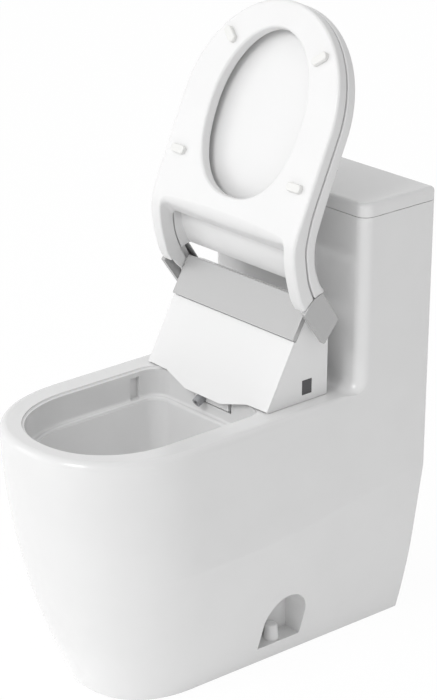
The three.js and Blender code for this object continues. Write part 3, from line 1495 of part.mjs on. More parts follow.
// Water heater and control module, which stand on the tray, and the water inlet at the back.
function unitModules(group) {
  const floor = trayTop + seatGap;
  const heater = alongZ(roundedRectangle(heaterLeft, heaterRight, heaterFront, heaterBack, moduleEdge),
    floor, floor + heaterHeight, 2);
  piece(group, "water_heater", heater, materials.innerPlastic);
  const board = alongZ(roundedRectangle(boardLeft, boardRight, heaterFront, heaterBack, moduleEdge),
    floor, floor + boardHeight, 2);
  piece(group, "control_module", board, materials.innerPlastic);
  const height = rimHeight + inletRise;
  const start = heaterBack + seatGap;
  piece(group, "water_inlet", cut(rodY(inletRadius, inletSide, height, start, start + inletLength, smallFacets),
    rodY(inletBore, inletSide, height, start + inletLength / 2, start + inletLength + overrun, smallFacets)),
  materials.chrome);
}

const toilet = new THREE.Group();
piece(toilet, "ceramic_body", ceramicBody(), materials.ceramic);
floorFixings(toilet);
flushValve(toilet);
fillValve(toilet);
const bezelTop = tankCover(toilet);
buttonHalf(toilet, "full", 1, bezelTop);
buttonHalf(toilet, "half", -1, bezelTop);
housingShell(toilet);
panelAndBand(toilet);
hingeBearings(toilet);
unitFixing(toilet);
nozzleUnit(toilet);
unitModules(toilet);

// Ring, lid, shaft and caps are drawn closed and turned together about the hinge axis.
const raised = new THREE.Group();
raised.position.set(0, hingeDepth, hingeHeight);
raised.rotation.x = -openRadians;
const closed = new THREE.Group();
closed.position.set(0, -hingeDepth, -hingeHeight);
raised.add(closed);
toilet.add(raised);
seatRing(closed);
seatCover(closed);
hingeCaps(closed);

export default toilet;
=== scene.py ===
"""Looks of a one-piece toilet with a washing seat, laid out as a Blender add-on and run as a script.

Metres, +Z up, the bowl's front towards -Y. Sizes in the tables are millimetres and are turned to metres once.
"""

import json
import math
import types

import bmesh
import bpy
import numpy as np
from mathutils import Matrix, Vector

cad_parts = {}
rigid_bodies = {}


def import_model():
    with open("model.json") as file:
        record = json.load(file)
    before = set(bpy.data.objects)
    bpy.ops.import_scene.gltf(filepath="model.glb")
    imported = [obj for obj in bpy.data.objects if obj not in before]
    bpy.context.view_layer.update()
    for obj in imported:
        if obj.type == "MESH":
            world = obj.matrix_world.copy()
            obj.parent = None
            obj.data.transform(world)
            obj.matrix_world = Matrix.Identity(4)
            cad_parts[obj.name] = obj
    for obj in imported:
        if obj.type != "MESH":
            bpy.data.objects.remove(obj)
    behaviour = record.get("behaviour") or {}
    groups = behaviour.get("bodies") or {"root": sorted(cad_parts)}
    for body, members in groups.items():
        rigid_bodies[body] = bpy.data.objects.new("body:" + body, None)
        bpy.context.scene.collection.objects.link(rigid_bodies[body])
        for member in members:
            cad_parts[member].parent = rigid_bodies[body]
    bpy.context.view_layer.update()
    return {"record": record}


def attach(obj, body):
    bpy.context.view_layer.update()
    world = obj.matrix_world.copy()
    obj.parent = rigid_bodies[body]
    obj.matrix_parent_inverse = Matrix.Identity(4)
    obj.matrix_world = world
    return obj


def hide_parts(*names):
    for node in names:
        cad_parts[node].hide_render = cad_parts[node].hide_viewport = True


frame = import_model()

bl_info = {
    "name": "One-piece toilet with washing seat",
    "version": (1, 0, 0),
    "blender": (4, 5, 0),
    "location": "View3D > Sidebar > Toilet",
    "description": "Builds the glazed body, the washing seat and the studio round them",
    "category": "Object",
}

MM = 0.001
FAR = 400  # mm, beyond every side of the part
PAST = 5  # mm, by which a cutting tool runs past the face that it opens
OVERLAP = 0.3  # mm, by which two tools overlap where they meet


def linear(code):
    """Turns an sRGB hex value into linear RGBA."""
    parts = [int(code.lstrip("#")[i:i + 2], 16) / 255 for i in (0, 2, 4)]
    return tuple(c / 12.92 if c <= 0.04045 else ((c + 0.055) / 1.055) ** 2.4 for c in parts) + (1.0,)


# Materials


def add_node(tree, kind, settings=None, links=None):
    """Adds a shader node, sets its fields and sockets, and links its inputs."""
    node = tree.nodes.new(kind)
    for key, value in (settings or {}).items():
        if hasattr(node, key):
            setattr(node, key, value)
        else:
            node.inputs[key].default_value = value
    for key, source in (links or {}).items():
        tree.links.new(source, node.inputs[key])
    return node


def surface(name, part, roughness, sockets):
    """A material whose plain values sit on its shader, its colour from the property group of colours; gives back its
    tree and shader for more detail."""
    colour = tuple(getattr(bpy.context.scene.toilet_colours, part))
    made = bpy.data.materials.new(name)
    made.use_nodes = True
    shader = made.node_tree.nodes["Principled BSDF"]
    for key, value in {"Base Color": colour, "Roughness": roughness, **sockets}.items():
        shader.inputs[key].default_value = value
    made.diffuse_color = colour
    return made, made.node_tree, shader


def grain(tree, shader, size_mm, height_mm, strength, detail=3.0, stretch=(1, 1, 1)):
    """Fine relief from noise on object coordinates: one grain is size_mm across and height_mm high."""
    place = add_node(tree, "ShaderNodeTexCoord")
    spread = add_node(tree, "ShaderNodeMapping", {"Scale": stretch}, {"Vector": place.outputs["Object"]})
    noise = add_node(tree, "ShaderNodeTexNoise", {"Scale": 1 / (size_mm * MM), "Detail": detail},
                     {"Vector": spread.outputs["Vector"]})
    relief = add_node(tree, "ShaderNodeBump", {"Strength": strength, "Distance": height_mm * MM},
                      {"Height": noise.outputs["Fac"]})
    tree.links.new(relief.outputs["Normal"], shader.inputs["Normal"])
    return noise


def vary_roughness(tree, shader, noise, low, high):
    """Roughness wanders between two values with the noise."""
    span = add_node(tree, "ShaderNodeMapRange", {"To Min": low, "To Max": high},
                    {"Value": noise.outputs["Fac"]})
    tree.links.new(span.outputs["Result"], shader.inputs["Roughness"])


def vary_colour(tree, shader, size_mm, low, high):
    """Colour drifts between two multiples of the shader's own colour over patches size_mm across."""
    colour = tuple(shader.inputs["Base Color"].default_value)[:3]
    place = add_node(tree, "ShaderNodeTexCoord")
    noise = add_node(tree, "ShaderNodeTexNoise", {"Scale": 1 / (size_mm * MM), "Detail": 2.0},
                     {"Vector": place.outputs["Object"]})
    ramp = add_node(tree, "ShaderNodeValToRGB", links={"Fac": noise.outputs["Fac"]})
    for stop, position, factor in zip(ramp.color_ramp.elements, (0.3, 0.7), (low, high)):
        stop.position = position
        stop.color = (*(channel * factor for channel in colour), 1.0)
    tree.links.new(ramp.outputs["Color"], shader.inputs["Base Color"])


def make_finish(name, part, roughness, relief, drift=None, gloss=None, sockets=None):
    """Material from its row in the table of finishes."""
    made, tree, shader = surface(name, part, roughness, sockets or {})
    if drift:
        vary_colour(tree, shader, *drift)
    noise = grain(tree, shader, *relief)
    if gloss:
        vary_roughness(tree, shader, noise, *gloss)
    return made


# Each row: relief is grain size and height in millimetres, strength, detail and stretch; drift is the patch in
# millimetres and the two factors of the colour; gloss is the span of the roughness, which follows the relief.
FINISHES = {
    # Vitreous china under a thick fired glaze: white, glassy, with a very slow wave in the glaze
    "ceramic": dict(
        name="glazed_vitreous_china", part="glaze", roughness=0.18, drift=(90, 0.99, 1.01),
        relief=(38, 0.25, 0.12, 1.0),
        sockets={"IOR": 1.5, "Coat Weight": 0.3, "Coat Roughness": 0.1, "Coat IOR": 1.5}),
    # Moulded white urea of ring and lid: semi-gloss, even, with faint flow in the gloss
    "seat_gloss": dict(
        name="moulded_white_urea", part="seat", roughness=0.32, drift=(120, 0.99, 1.01),
        relief=(14, 0.06, 0.08, 2.0), gloss=(0.27, 0.36), sockets={"IOR": 1.5}),
    # Injection-moulded ABS casing: white, satin, with a fine spark-eroded grain, drawn at 0.8 mm to show
    "seat_plastic": dict(
        name="moulded_white_abs", part="casing", roughness=0.38, relief=(0.8, 0.03, 0.15, 2.0), gloss=(0.33, 0.43),
        sockets={"IOR": 1.49}),
    # Silver metallic paint on plastic: flakes, drawn at 0.7 mm to show, turn a plain grey into a soft sparkle
    "band_metal": dict(
        name="silver_metallic_paint", part="band", roughness=0.44, drift=(0.7, 0.976, 1.025),
        relief=(0.7, 0.02, 0.12, 1.0), gloss=(0.4, 0.48),
        sockets={"Metallic": 0.3, "Coat Weight": 0.2, "Coat Roughness": 0.2}),
    # Bright chromium plate: mirror bright with faint polishing haze
    "chrome": dict(
        name="chromium_plate", part="chrome", roughness=0.08, relief=(3, 0.01, 0.05, 2.0), gloss=(0.06, 0.14),
        sockets={"Metallic": 1.0}),
    # Rolled stainless steel: grey metal with rolling lines 0.5 mm apart along X
    "steel": dict(
        name="rolled_stainless_steel", part="steel", roughness=0.32, relief=(0.5, 0.02, 0.2, 2.0, (0.04, 1, 1)),
        gloss=(0.25, 0.42), sockets={"Metallic": 1.0}),
    # Smoked acrylic window: dark grey, polished
    "window": dict(
        name="smoked_acrylic", part="window", roughness=0.12, relief=(5, 0.01, 0.05, 1.0), gloss=(0.1, 0.16),
        sockets={"IOR": 1.49}),
    # Moulded black EPDM rubber: dull with a faint bloom
    "dark_rubber": dict(
        name="moulded_epdm_rubber", part="rubber", roughness=0.8, drift=(6, 0.86, 1.31), relief=(1.2, 0.05, 0.3, 3.0)),
    # Soft white thermoplastic elastomer: matt, slightly warm
    "pale_rubber": dict(
        name="white_thermoplastic_elastomer", part="bumper", roughness=0.6, relief=(0.9, 0.03, 0.2, 2.0)),
    # Unpolished polypropylene moulding: pale grey, matt, with soft mould texture
    "inner_plastic": dict(
        name="moulded_polypropylene", part="moulding", roughness=0.5, drift=(25, 0.97, 1.04),
        relief=(1.5, 0.04, 0.2, 2.0)),
    # Cast silicone seal: dull blue, slightly translucent to the eye
    "seal": dict(
        name="cast_silicone", part="silicone", roughness=0.55, drift=(8, 0.9, 1.12), relief=(1.0, 0.03, 0.2, 2.0)),
    # Moulded grey acetal of the spray tip: smooth, semi-matt
    "spray_tip": dict(
        name="moulded_grey_acetal", part="spray_tip", roughness=0.4, relief=(1.0, 0.01, 0.1, 1.0), gloss=(0.36, 0.44),
        sockets={"IOR": 1.48}),
}
OWN_FINISH = {"seat_lid": "seat_gloss", "seat_ring": "seat_gloss", "nozzle_tip": "spray_tip"}
MADE = {}


def finish_of(key):
    """Makes a finish once and gives it back."""
    if key not in MADE:
        MADE[key] = make_finish(**FINISHES[key])
    return MADE[key]


# Forms. Tables and working values are millimetres; a mesh is made in metres.


def in_mm(group):
    """The values of a property group, its lengths in millimetres."""
    kinds = group.bl_rna.properties
    return types.SimpleNamespace(**{key: getattr(group, key) / (MM if kinds[key].unit == "LENGTH" else 1)
                                    for key in group.__annotations__})


def smooth(table, x):
    """Monotone cubic through a table of pairs: between two points the value follows a cubic whose end slopes are
    the harmonic means of the neighbouring straight slopes, so it never overshoots."""
    px, py = np.array(table, float).T
    width = np.diff(px)
    slope = np.diff(py) / width
    before, after = slope[:-1], slope[1:]
    inner = np.where(before * after > 0, 2 * before * after / np.where(before + after == 0, 1, before + after), 0)
    end = np.concatenate([[slope[0]], inner, [slope[-1]]])
    x = np.clip(x, px[0], px[-1])
    k = np.clip(np.searchsorted(px, x, side="right") - 1, 0, len(width) - 1)
    t = (x - px[k]) / width[k]
    return (py[k] * (1 + 2 * t) * (1 - t) ** 2 + end[k] * width[k] * t * (1 - t) ** 2
            + py[k + 1] * t * t * (3 - 2 * t) + end[k + 1] * width[k] * t * t * (t - 1))


def spline(points, count):
    """Points spread evenly along a Catmull-Rom curve: each piece is the cubic whose end slopes are half the step
    between the points on either side."""
    p = np.array(points, float)
    p = np.concatenate([p[:1], p, p[-1:]])
    t = np.linspace(0, 1, 41)[:-1, None]
    parts = []
    for a, b, c, d in zip(p[:-3], p[1:-2], p[2:-1], p[3:]):
        u, v = (c - a) / 2, (d - b) / 2
        parts.append((2 * b - 2 * c + u + v) * t ** 3 + (3 * c - 3 * b - 2 * u - v) * t ** 2 + u * t + b)
    dense = np.concatenate(parts + [p[-1:]])
    length = np.concatenate([[0], np.cumsum(np.linalg.norm(np.diff(dense, axis=0), axis=1))])
    even = np.linspace(0, length[-1], count + 1)
    return np.stack([np.interp(even, length, dense[:, k]) for k in range(dense.shape[1])], 1)


def quarter(radius, steps):
    """Quarter round: rise from 0 to the radius and how far the surface has drawn in there, by sine and cosine."""
    angle = np.linspace(0, math.pi / 2, steps + 1)
    return radius * np.sin(angle), radius * (1 - np.cos(angle))


def solid(name, points, faces):
    """Mesh object from an array of points in millimetres and a list of faces. Points within 0.002 mm merge, and the
    normals point out."""
    mesh = bpy.data.meshes.new(name)
    mesh.from_pydata(np.asarray(points, float) * MM, [], faces)
    made = bmesh.new()
    made.from_mesh(mesh)
    bmesh.ops.remove_doubles(made, verts=made.verts, dist=0.002 * MM)
    bmesh.ops.recalc_face_normals(made, faces=made.faces)
    made.to_mesh(mesh)
    made.free()
    thing = bpy.data.objects.new(name, mesh)
    bpy.context.scene.collection.objects.link(thing)
    return thing


def grid_faces(rows, columns, around=True, closed=False):
    """Quads between neighbouring rows and columns of a grid of points. The columns may close round, the rows too."""
    i, j = np.meshgrid(np.arange(rows - (not closed)), np.arange(columns - (not around)), indexing="ij")
    n, k = (i + 1) % rows, (j + 1) % columns
    quads = np.stack([i * columns + j, i * columns + k, n * columns + k, n * columns + j], -1)
    return quads.reshape(-1, 4).tolist()


def skin(name, rows):
    """Closed solid over rows of points: an array of rows by columns by 3, closed round and capped at both ends."""
    rows = np.asarray(rows, float)
    count, columns = rows.shape[:2]
    last = (count - 1) * columns
    caps = [list(range(columns))[::-1], list(range(last, last + columns))]
    return solid(name, rows.reshape(-1, 3), grid_faces(count, columns) + caps)


def block(name, x0, x1, y0, y1, z0, z1):
    """Rectangular tool between six planes."""
    plan = np.array([(x0, y0), (x1, y0), (x1, y1), (x0, y1)], float)
    return skin(name, [np.column_stack([plan, np.full(4, z)]) for z in (z0, z1)])


def rod(name, axis, radius, centre, start, end, facets=64):
    """Round rod along an axis (0, 1 or 2); the centre is given in the two other directions, in order."""
    angle = 2 * math.pi * np.arange(facets) / facets
    rows = np.empty((2, facets, 3))
    others = [k for k in range(3) if k != axis]
    rows[..., others[0]] = centre[0] + radius * np.cos(angle)
    rows[..., others[1]] = centre[1] + radius * np.sin(angle)
    rows[0, :, axis], rows[1, :, axis] = start, end
    return skin(name, rows)


def tube(name, points, radius, count=96, facets=40):
    """Round rod along a curve in the middle plane: circles across the curve's direction."""
    path = spline(points, count)
    along = np.gradient(path, axis=0)
    along /= np.linalg.norm(along, axis=1)[:, None]
    angle = 2 * math.pi * np.arange(facets) / facets
    x = np.broadcast_to(radius * np.cos(angle), (len(path), facets))
    lift = radius * np.sin(angle)
    y = path[:, :1] - along[:, 1:] * lift
    z = path[:, 1:] + along[:, :1] * lift
    return skin(name, np.stack([x, y, z], -1))


def lathe(name, profile, x, y, facets=72):
    """Closed profile of radius and height, turned about a vertical axis."""
    r, z = np.array(profile, float).T
    angle = 2 * math.pi * np.arange(facets) / facets
    points = np.stack([x + r[:, None] * np.cos(angle), y + r[:, None] * np.sin(angle),
                       np.broadcast_to(z[:, None], (len(r), facets))], -1)
    return solid(name, points.reshape(-1, 3), grid_faces(len(r), facets, closed=True))


def settle(piece, joins=(), cuts=()):
    """Joins and cuts other solids, keeps the result as plain mesh and removes the tools."""
    for kind, tools in (("UNION", joins), ("DIFFERENCE", cuts)):
        for tool in tools:
            step = piece.modifiers.new(tool.name, "BOOLEAN")
            step.operation, step.solver, step.object = kind, "MANIFOLD", tool
    graph = bpy.context.evaluated_depsgraph_get()
    mesh = bpy.data.meshes.new_from_object(piece.evaluated_get(graph))
    piece.modifiers.clear()
    piece.data = mesh
    for tool in (*joins, *cuts):
        bpy.data.objects.remove(tool)
    if not len(mesh.polygons):
        raise RuntimeError(piece.name + " came out empty")
    return piece


def dress(piece, body, slot, nodes, angle=32, matrix=None):
    """Shades a finished piece, gives it its finish, its body and the solids that it stands for."""
    mesh = piece.data
    if matrix is not None:
        mesh.transform(matrix)
    mesh.shade_smooth()
    mesh.set_sharp_from_angle(angle=math.radians(angle))
    even = piece.modifiers.new("even_normals", "WEIGHTED_NORMAL")
    even.keep_sharp = True
    mesh.materials.clear()
    mesh.materials.append(finish_of(slot))
    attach(piece, body)
    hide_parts(*nodes)


def plan_columns(half, widest, front, power, back_half, back, corner, nose=144, side=40, bend=8):
    """Plan outline, once round: a superellipse nose, whose sides and reach follow cosine and sine to the power
    2 over n, straight sides, and round corners at a flat back. Every value may be one number, a row of numbers, one
    for each outline, or an array of outlines by points. The last result is each point's share along the side."""
    share = np.linspace(0, 1, side + 1)[1:-1]
    turn = np.linspace(0, math.pi / 2, bend + 1)
    run = np.concatenate([np.zeros(nose + 1), share, np.ones(2 * bend + 2), share[::-1]])
    given = [np.asarray(v, float) for v in (half, widest, front, power, back_half, back, corner)]
    given = [v if v.ndim == 2 else v.reshape(-1, 1) for v in given]
    half, widest, front, power, back_half, back, corner = np.broadcast_arrays(*given, run[None])[:-1]
    angle = np.linspace(0, math.pi, nose + 1)
    cosine, sine = np.cos(angle), np.sin(angle)
    x, y = half.copy(), widest.copy()
    cols = slice(0, nose + 1)
    x[:, cols] *= np.sign(cosine) * np.abs(cosine) ** (2 / power[:, cols])
    y[:, cols] -= (widest - front)[:, cols] * np.abs(sine) ** (2 / power[:, cols])
    for sign, step, straight in ((-1, share, True), (-1, turn, False), (1, turn[::-1], False), (1, share[::-1], True)):
        cols = slice(cols.stop, cols.stop + len(step))
        if straight:
            x[:, cols] = sign * (half + (back_half - half) * run)[:, cols]
            y[:, cols] = (widest + (back - corner - widest) * run)[:, cols]
        else:
            x[:, cols] = sign * (back_half[:, cols] - corner[:, cols] * (1 - np.cos(step)))
            y[:, cols] = back[:, cols] - corner[:, cols] * (1 - np.sin(step))
    return x, y, run


def rounded_plan(x0, x1, y0, y1, front, back, steps=8):
    """Rectangle once round with one radius at its two front corners and one at its two back corners."""
    points = []
    for x, y, radius, start in ((x1 - back, y1 - back, back, 0), (x0 + back, y1 - back, back, 90),
                                (x0 + front, y0 + front, front, 180), (x1 - front, y0 + front, front, 270)):
        angle = np.radians(start + np.linspace(0, 90, steps + 1))
        points.append(np.column_stack([x + radius * np.cos(angle), y + radius * np.sin(angle)]))
    return np.concatenate(points)


def at_height(plan, z):
    """The plan's points at one height."""
    return np.column_stack([plan, np.full(len(plan), z)])


# Glazed body

SETBACK = [(0, 1), (0.0889, 0.853), (0.1778, 0.704), (0.2667, 0.572), (0.3556, 0.454), (0.4444, 0.364),
           (0.5333, 0.281), (0.6222, 0.195), (0.7111, 0.122), (0.8, 0.062), (0.8889, 0.022), (0.96, 0), (1, 0)]
FLARE = [(0, 0), (0.139, 0.2), (0.427, 0.54), (0.701, 0.765), (1, 1)]
CREASE = [(0, 246), (0.195, 246), (0.419, 252.7), (0.651, 267), (0.792, 273.6), (1, 281.5)]
BOWL = [(0, 1), (0.1, 0.93), (0.25, 0.81), (0.42, 0.65), (0.6, 0.46), (0.77, 0.27), (0.9, 0.11), (0.97, 0.02)]
EDGE_STEPS = 12
FLARE_STEPS, SIDE_STEPS = 36, 24
ROW_POWER = 0.9  # spreads the skirt's rows a little wider near the foot
SLOPE_END = 0.93  # share of the bowl's depth at which its slope goes over to the round
LEAST_CORNER = 0.8
FEED_START = [(0, 430), (0, 409), (-24, 389), (-72, 385)]  # from the flush valve's axis
FEED_ROUTE = [(72, 379), (34, 351.5)]
FEED_WALL_END = (-10, 318)
FEED_BORE_END = (-34, 294)
NOZZLE_POCKET = (-36, 52, -9, 84, 419)  # both sides, front, back and floor
TIP = 0.05  # where a turned profile ends beside its axis
NICHE_SHELL = (8, 123, -5, 132)  # front, back, foot and top of the wall round a niche
TRAP_ROUTE = [(-85, 221), (-45, 209), (-5, 207), (35, 234), (68, 278), (105, 310), (142, 291), (156, 247),
              (140, 186), (103, 126), (66, 78), (47, 39)]


def skirt_rows(size, inset=0.0, low=0.0, high=None):
    """Outside of bowl and skirt, or the hollow at an inset. Below the crease the side flares from the foot to the
    full width by the flare table over height through crease height; above it the side stands plumb. The nose
    stands back by the setback table. The top edge is a quarter round that fades out in front of the tank."""
    outer = high is None
    edge = size.rim_edge if outer else 0
    end = (size.rim_height if outer else high) - edge
    run = plan_columns(1, 0, -1, 2, 1, 1, 0.1)[2]
    crease = smooth(CREASE, run)[None]
    under = np.linspace(0, 1, FLARE_STEPS + 1)[:, None] ** ROW_POWER
    over = np.linspace(0, 1, SIDE_STEPS + 1)[1:, None]
    level = np.concatenate([low + under * (crease - low), crease + over * (end - crease)])
    rise, draw = quarter(edge, EDGE_STEPS)
    if outer:
        level = np.concatenate([level[:1], level[:1] + size.foot_edge, np.maximum(level[1:], size.foot_edge + 0.5),
                                end + rise[1:, None] + 0 * crease])
    draw_in = np.full(level.shape, float(inset))
    above = np.clip(level, 0, None)
    shift = smooth(SETBACK, above / size.rim_height)
    wide = smooth(FLARE, above / crease)
    power = size.foot_power + (size.rim_power - size.foot_power) * np.clip(above / size.rim_height, 0, 1)
    widest = -size.rim_widest_ahead + (size.rim_widest_ahead - size.foot_widest_ahead) * shift
    front = -size.rim_widest_ahead - size.rim_reach + size.foot_setback * shift
    back = size.tank_front + size.tank_depth
    foot = size.width / 2 - size.foot_inset_front + (size.foot_inset_front - size.foot_inset_back) * run[None]
    half = foot + (size.width / 2 - foot) * wide
    if outer:
        along = (widest + (back - widest) * run[None])[-EDGE_STEPS:]
        fade = 1 - np.clip((along - size.tank_front + size.fade_ahead) / size.fade_length, 0, 1)
        draw_in[0] += size.foot_edge
        draw_in[-EDGE_STEPS:] += draw[1:, None]
        draw_in[-EDGE_STEPS:] *= fade
    reach = half - draw_in
    x, y = plan_columns(reach, widest, front + draw_in, power, reach, back - draw_in,
                        np.maximum(size.back_corner - draw_in, 1))[:2]
    return np.stack([x, y, level], -1)


def tank_plan(size, draw=0.0, ahead=0.0, corner=None):
    """Outline of the tank drawn in all round. Its front may stand ahead of the tank's own, and one radius may stand
    for the tank's own corners."""
    half, back = size.width / 2, size.tank_front + size.tank_depth
    corners = (corner, corner) if corner else (size.tank_corner - draw, max(size.back_corner - draw, LEAST_CORNER), 12)
    return rounded_plan(-half + draw, half - draw, size.tank_front - ahead + draw, back - draw, *corners)


def tank_rows(size):
    """Tank block: its front comes down in a concave quarter round onto the deck; corners are round in plan."""
    forward, rise = quarter(size.tank_fillet, 14)
    rows = [at_height(tank_plan(size, 0, size.tank_fillet), size.rim_height - size.rim_edge)]
    rows += [at_height(tank_plan(size, 0, size.tank_fillet - step), size.rim_height + up)
             for step, up in zip(forward, rise)]
    rows.append(at_height(tank_plan(size), size.tank_height - size.cover_height - size.cover_seam))
    return rows


def bowl_rows(size, grow=0.0):
    """Inside of the bowl: quarter-round lip, upright wall, ledge with soft corners, then a slope that goes over
    from the opening's outline to the sump's outline by the bowl table. It ends in a round onto the sump's floor,
    by sine and cosine, from 15 to 90 degrees. A growth gives the shell's outside."""
    def opening(inset):
        half = size.opening_half - inset
        return np.stack(plan_columns(half, -size.opening_widest, -size.opening_widest - size.opening_reach + inset,
                                     size.opening_power, half, size.opening_back - inset,
                                     np.maximum(size.opening_corner - inset, 1), side=20)[:2], -1)

    def sump(draw):
        half = size.sump_half - draw
        return np.stack(plan_columns(half, -size.sump_widest, -size.sump_widest - size.sump_reach + draw, 2, half,
                                     size.sump_back - draw, max(size.sump_corner - draw, 1), side=20)[:2], -1)[0]
    ledge = size.rim_height - size.ledge_drop
    floor = size.sump_floor
    if grow:
        steps = [(size.rim_height - size.rim_edge, -grow), (ledge - grow, -grow)]
        ledge, floor = ledge - grow, floor - grow
    else:
        rise, draw = quarter(size.lip, 8)
        turn = np.radians(np.linspace(0, 90, 8))
        soft = size.ledge_soft
        steps = [(size.rim_height + PAST, -size.lip), *zip(size.rim_height - rise, draw - size.lip),
                 *zip(ledge + soft - soft * np.sin(turn), soft - soft * np.cos(turn)),
                 *zip(ledge - soft + soft * np.cos(turn), size.ledge_width - soft + soft * np.sin(turn))]
    z, inset = np.array(steps).T
    upper = opening(inset)
    upper = np.concatenate([upper, np.broadcast_to(z[:, None, None], (*upper.shape[:2], 1))], -1)
    depth = np.linspace(0.02, SLOPE_END, 40)[:, None, None]
    start = sump(-grow)
    mixed = start + smooth(BOWL, depth) * (opening(size.ledge_width - grow)[0] - start)
    height = np.broadcast_to(ledge - depth * (ledge - floor), (*mixed.shape[:2], 1))
    lower = np.concatenate([mixed, height], -1)
    round_height = (1 - SLOPE_END) * (ledge - floor)
    base = [at_height(sump(-grow + size.sump_round * (0.9 - math.cos(a))), floor + round_height
                      * (1 - math.sin(a))) for a in np.radians(np.linspace(15, 90, 8))]
    return np.concatenate([upper, lower, np.array(base)])


def build_body():
    """One casting: skirt and tank joined, then hollow, bowl, tank room, trapway, channel, niches, rear arch,
    deck holes and nozzle pocket cut out."""
    size = in_mm(bpy.context.scene.toilet_body)
    back, half = size.tank_front + size.tank_depth, size.width / 2
    under_deck = size.rim_height - size.deck_thickness
    over_deck = size.rim_height + PAST
    valve = size.tank_front + size.tank_depth / 2 - size.valve_ahead
    niche = half - size.niche_inset
    bolt = niche + size.bolt_outside
    feed = [(valve + y, z) for y, z in FEED_START] + [(valve / 2, FEED_START[-1][1])] + FEED_ROUTE

    def both(name, x0, x1, *rest):
        return [block(name, *sorted((sign * x0, sign * x1)), *rest) for sign in (-1, 1)]

    outlet = TRAP_ROUTE[-1][0]
    x0, x1, y0, y1, low = NOZZLE_POCKET
    wall = size.bowl_wall
    kept = [skin("bowl_shell", bowl_rows(size, wall)),
            tube("trap_wall", TRAP_ROUTE + [(outlet, size.trap_end)], size.trap_bore + size.pipe_wall),
            tube("feed_wall", feed + [FEED_WALL_END], size.feed_bore + size.pipe_wall),
            rod("valve_boss", 2, size.valve_boss, (0, valve), size.valve_boss_low, size.rim_height),
            block("tank_base", -FAR, FAR, size.tank_front - size.tank_fillet, FAR,
                  size.tank_floor - size.tank_base, size.rim_height),
            block("pocket_wall", x0 - wall, x1 + wall, 0, y1 + wall, low - wall, size.rim_height)]
    kept += both("niche_wall", niche - size.niche_wall, FAR, *NICHE_SHELL)
    hollow = skin("hollow", skirt_rows(size, size.skirt_wall, -PAST, under_deck))
    settle(hollow, cuts=kept)

    arch = np.linspace(0, math.pi, 40)
    middle, span = (size.niche_back + size.niche_front) / 2, (size.niche_back - size.niche_front) / 2
    outline = np.concatenate([[(size.niche_front, size.niche_low), (size.niche_back, size.niche_low)],
                              np.column_stack([middle + span * np.cos(arch),
                                               size.niche_spring + size.niche_rise * np.sin(arch)])])
    tools = [hollow, skin("bowl_room", bowl_rows(size)),
             skin("tank_room", [at_height(tank_plan(size, size.tank_wall, corner=size.tank_room_corner), z)
                                for z in (size.tank_floor, size.tank_height + PAST)]),
             tube("trap_bore", TRAP_ROUTE + [(outlet, -PAST)], size.trap_bore),
             tube("feed_bore", feed + [FEED_BORE_END], size.feed_bore),
             block("nozzle_pocket", x0, x1, y0, y1, low, over_deck)]
    for name, x, radius in (("valve_hole", 0, size.valve_hole), ("fill_hole", size.fill_inset - half, size.fill_hole)):
        tools.append(rod(name, 2, radius, (x, valve), FEED_START[-1][1], size.tank_floor + PAST))
    rear = np.concatenate([[(-size.rear_half, -PAST), (size.rear_half, -PAST)],
                           np.column_stack([size.rear_half * np.cos(arch),
                                            size.rear_spring + size.rear_half * np.sin(arch)])])
    tools.append(skin("rear_arch", [np.column_stack([rear[:, 0], np.full(len(rear), y), rear[:, 1]])
                                    for y in (back - size.skirt_wall - OVERLAP, back + PAST)]))
    for sign in (-1, 1):
        tools.append(skin("niche", [np.column_stack([np.full(len(outline), x), outline])
                                    for x in (sign * niche, sign * FAR)]))
        tools.append(rod("bolt_hole", 2, size.bolt_hole, (sign * bolt, size.bolt_depth), -PAST,
                         size.niche_low + PAST, 32))
        tools.append(rod("deck_hole", 2, size.deck_hole, (sign * size.deck_hole_side, size.deck_hole_depth),
                         under_deck - PAST, over_deck, 32))
    tools += both("recess", 0, size.opening_half + size.recess_depth, -size.recess_ahead,
                  size.opening_back - size.opening_corner - size.recess_short, size.rim_height - size.ledge_drop,
                  size.rim_height - size.recess_drop)
    body = skin("glazed_casting", skirt_rows(size))
    settle(body, joins=[skin("tank_block", tank_rows(size))])
    settle(body, cuts=tools)
    dress(body, "body", "ceramic", ["ceramic_body"])
    build_caps(size, bolt)


def build_caps(size, bolt):
    """Caps over the floor bolts: a cone up to a shoulder, a dome of half an ellipse over it, and the same hollow at
    the wall's distance inside."""
    low, wall, radius = size.niche_low + size.cap_play, size.cap_wall, size.cap_top
    top = size.cap_shoulder + size.cap_rise
    spring = size.cap_shoulder - size.cap_hollow_drop
    turn = np.radians(np.linspace(0, 90, 12))[:-1]
    dome = [(radius * math.cos(a), size.cap_shoulder + size.cap_rise * math.sin(a)) for a in turn]
    under = [((radius - wall) * math.cos(a), spring + (top - wall - spring) * math.sin(a)) for a in turn[::-1]]
    profile = [(size.cap_radius, low), *dome, (TIP, top), (TIP, top - wall), *under, (size.cap_radius - wall, low)]
    for side, sign in (("left", -1), ("right", 1)):
        cap = lathe("bolt_cap_glaze_" + side, profile, sign * bolt, size.bolt_depth)
        dress(cap, "body", "ceramic", ["bolt_cap_" + side])


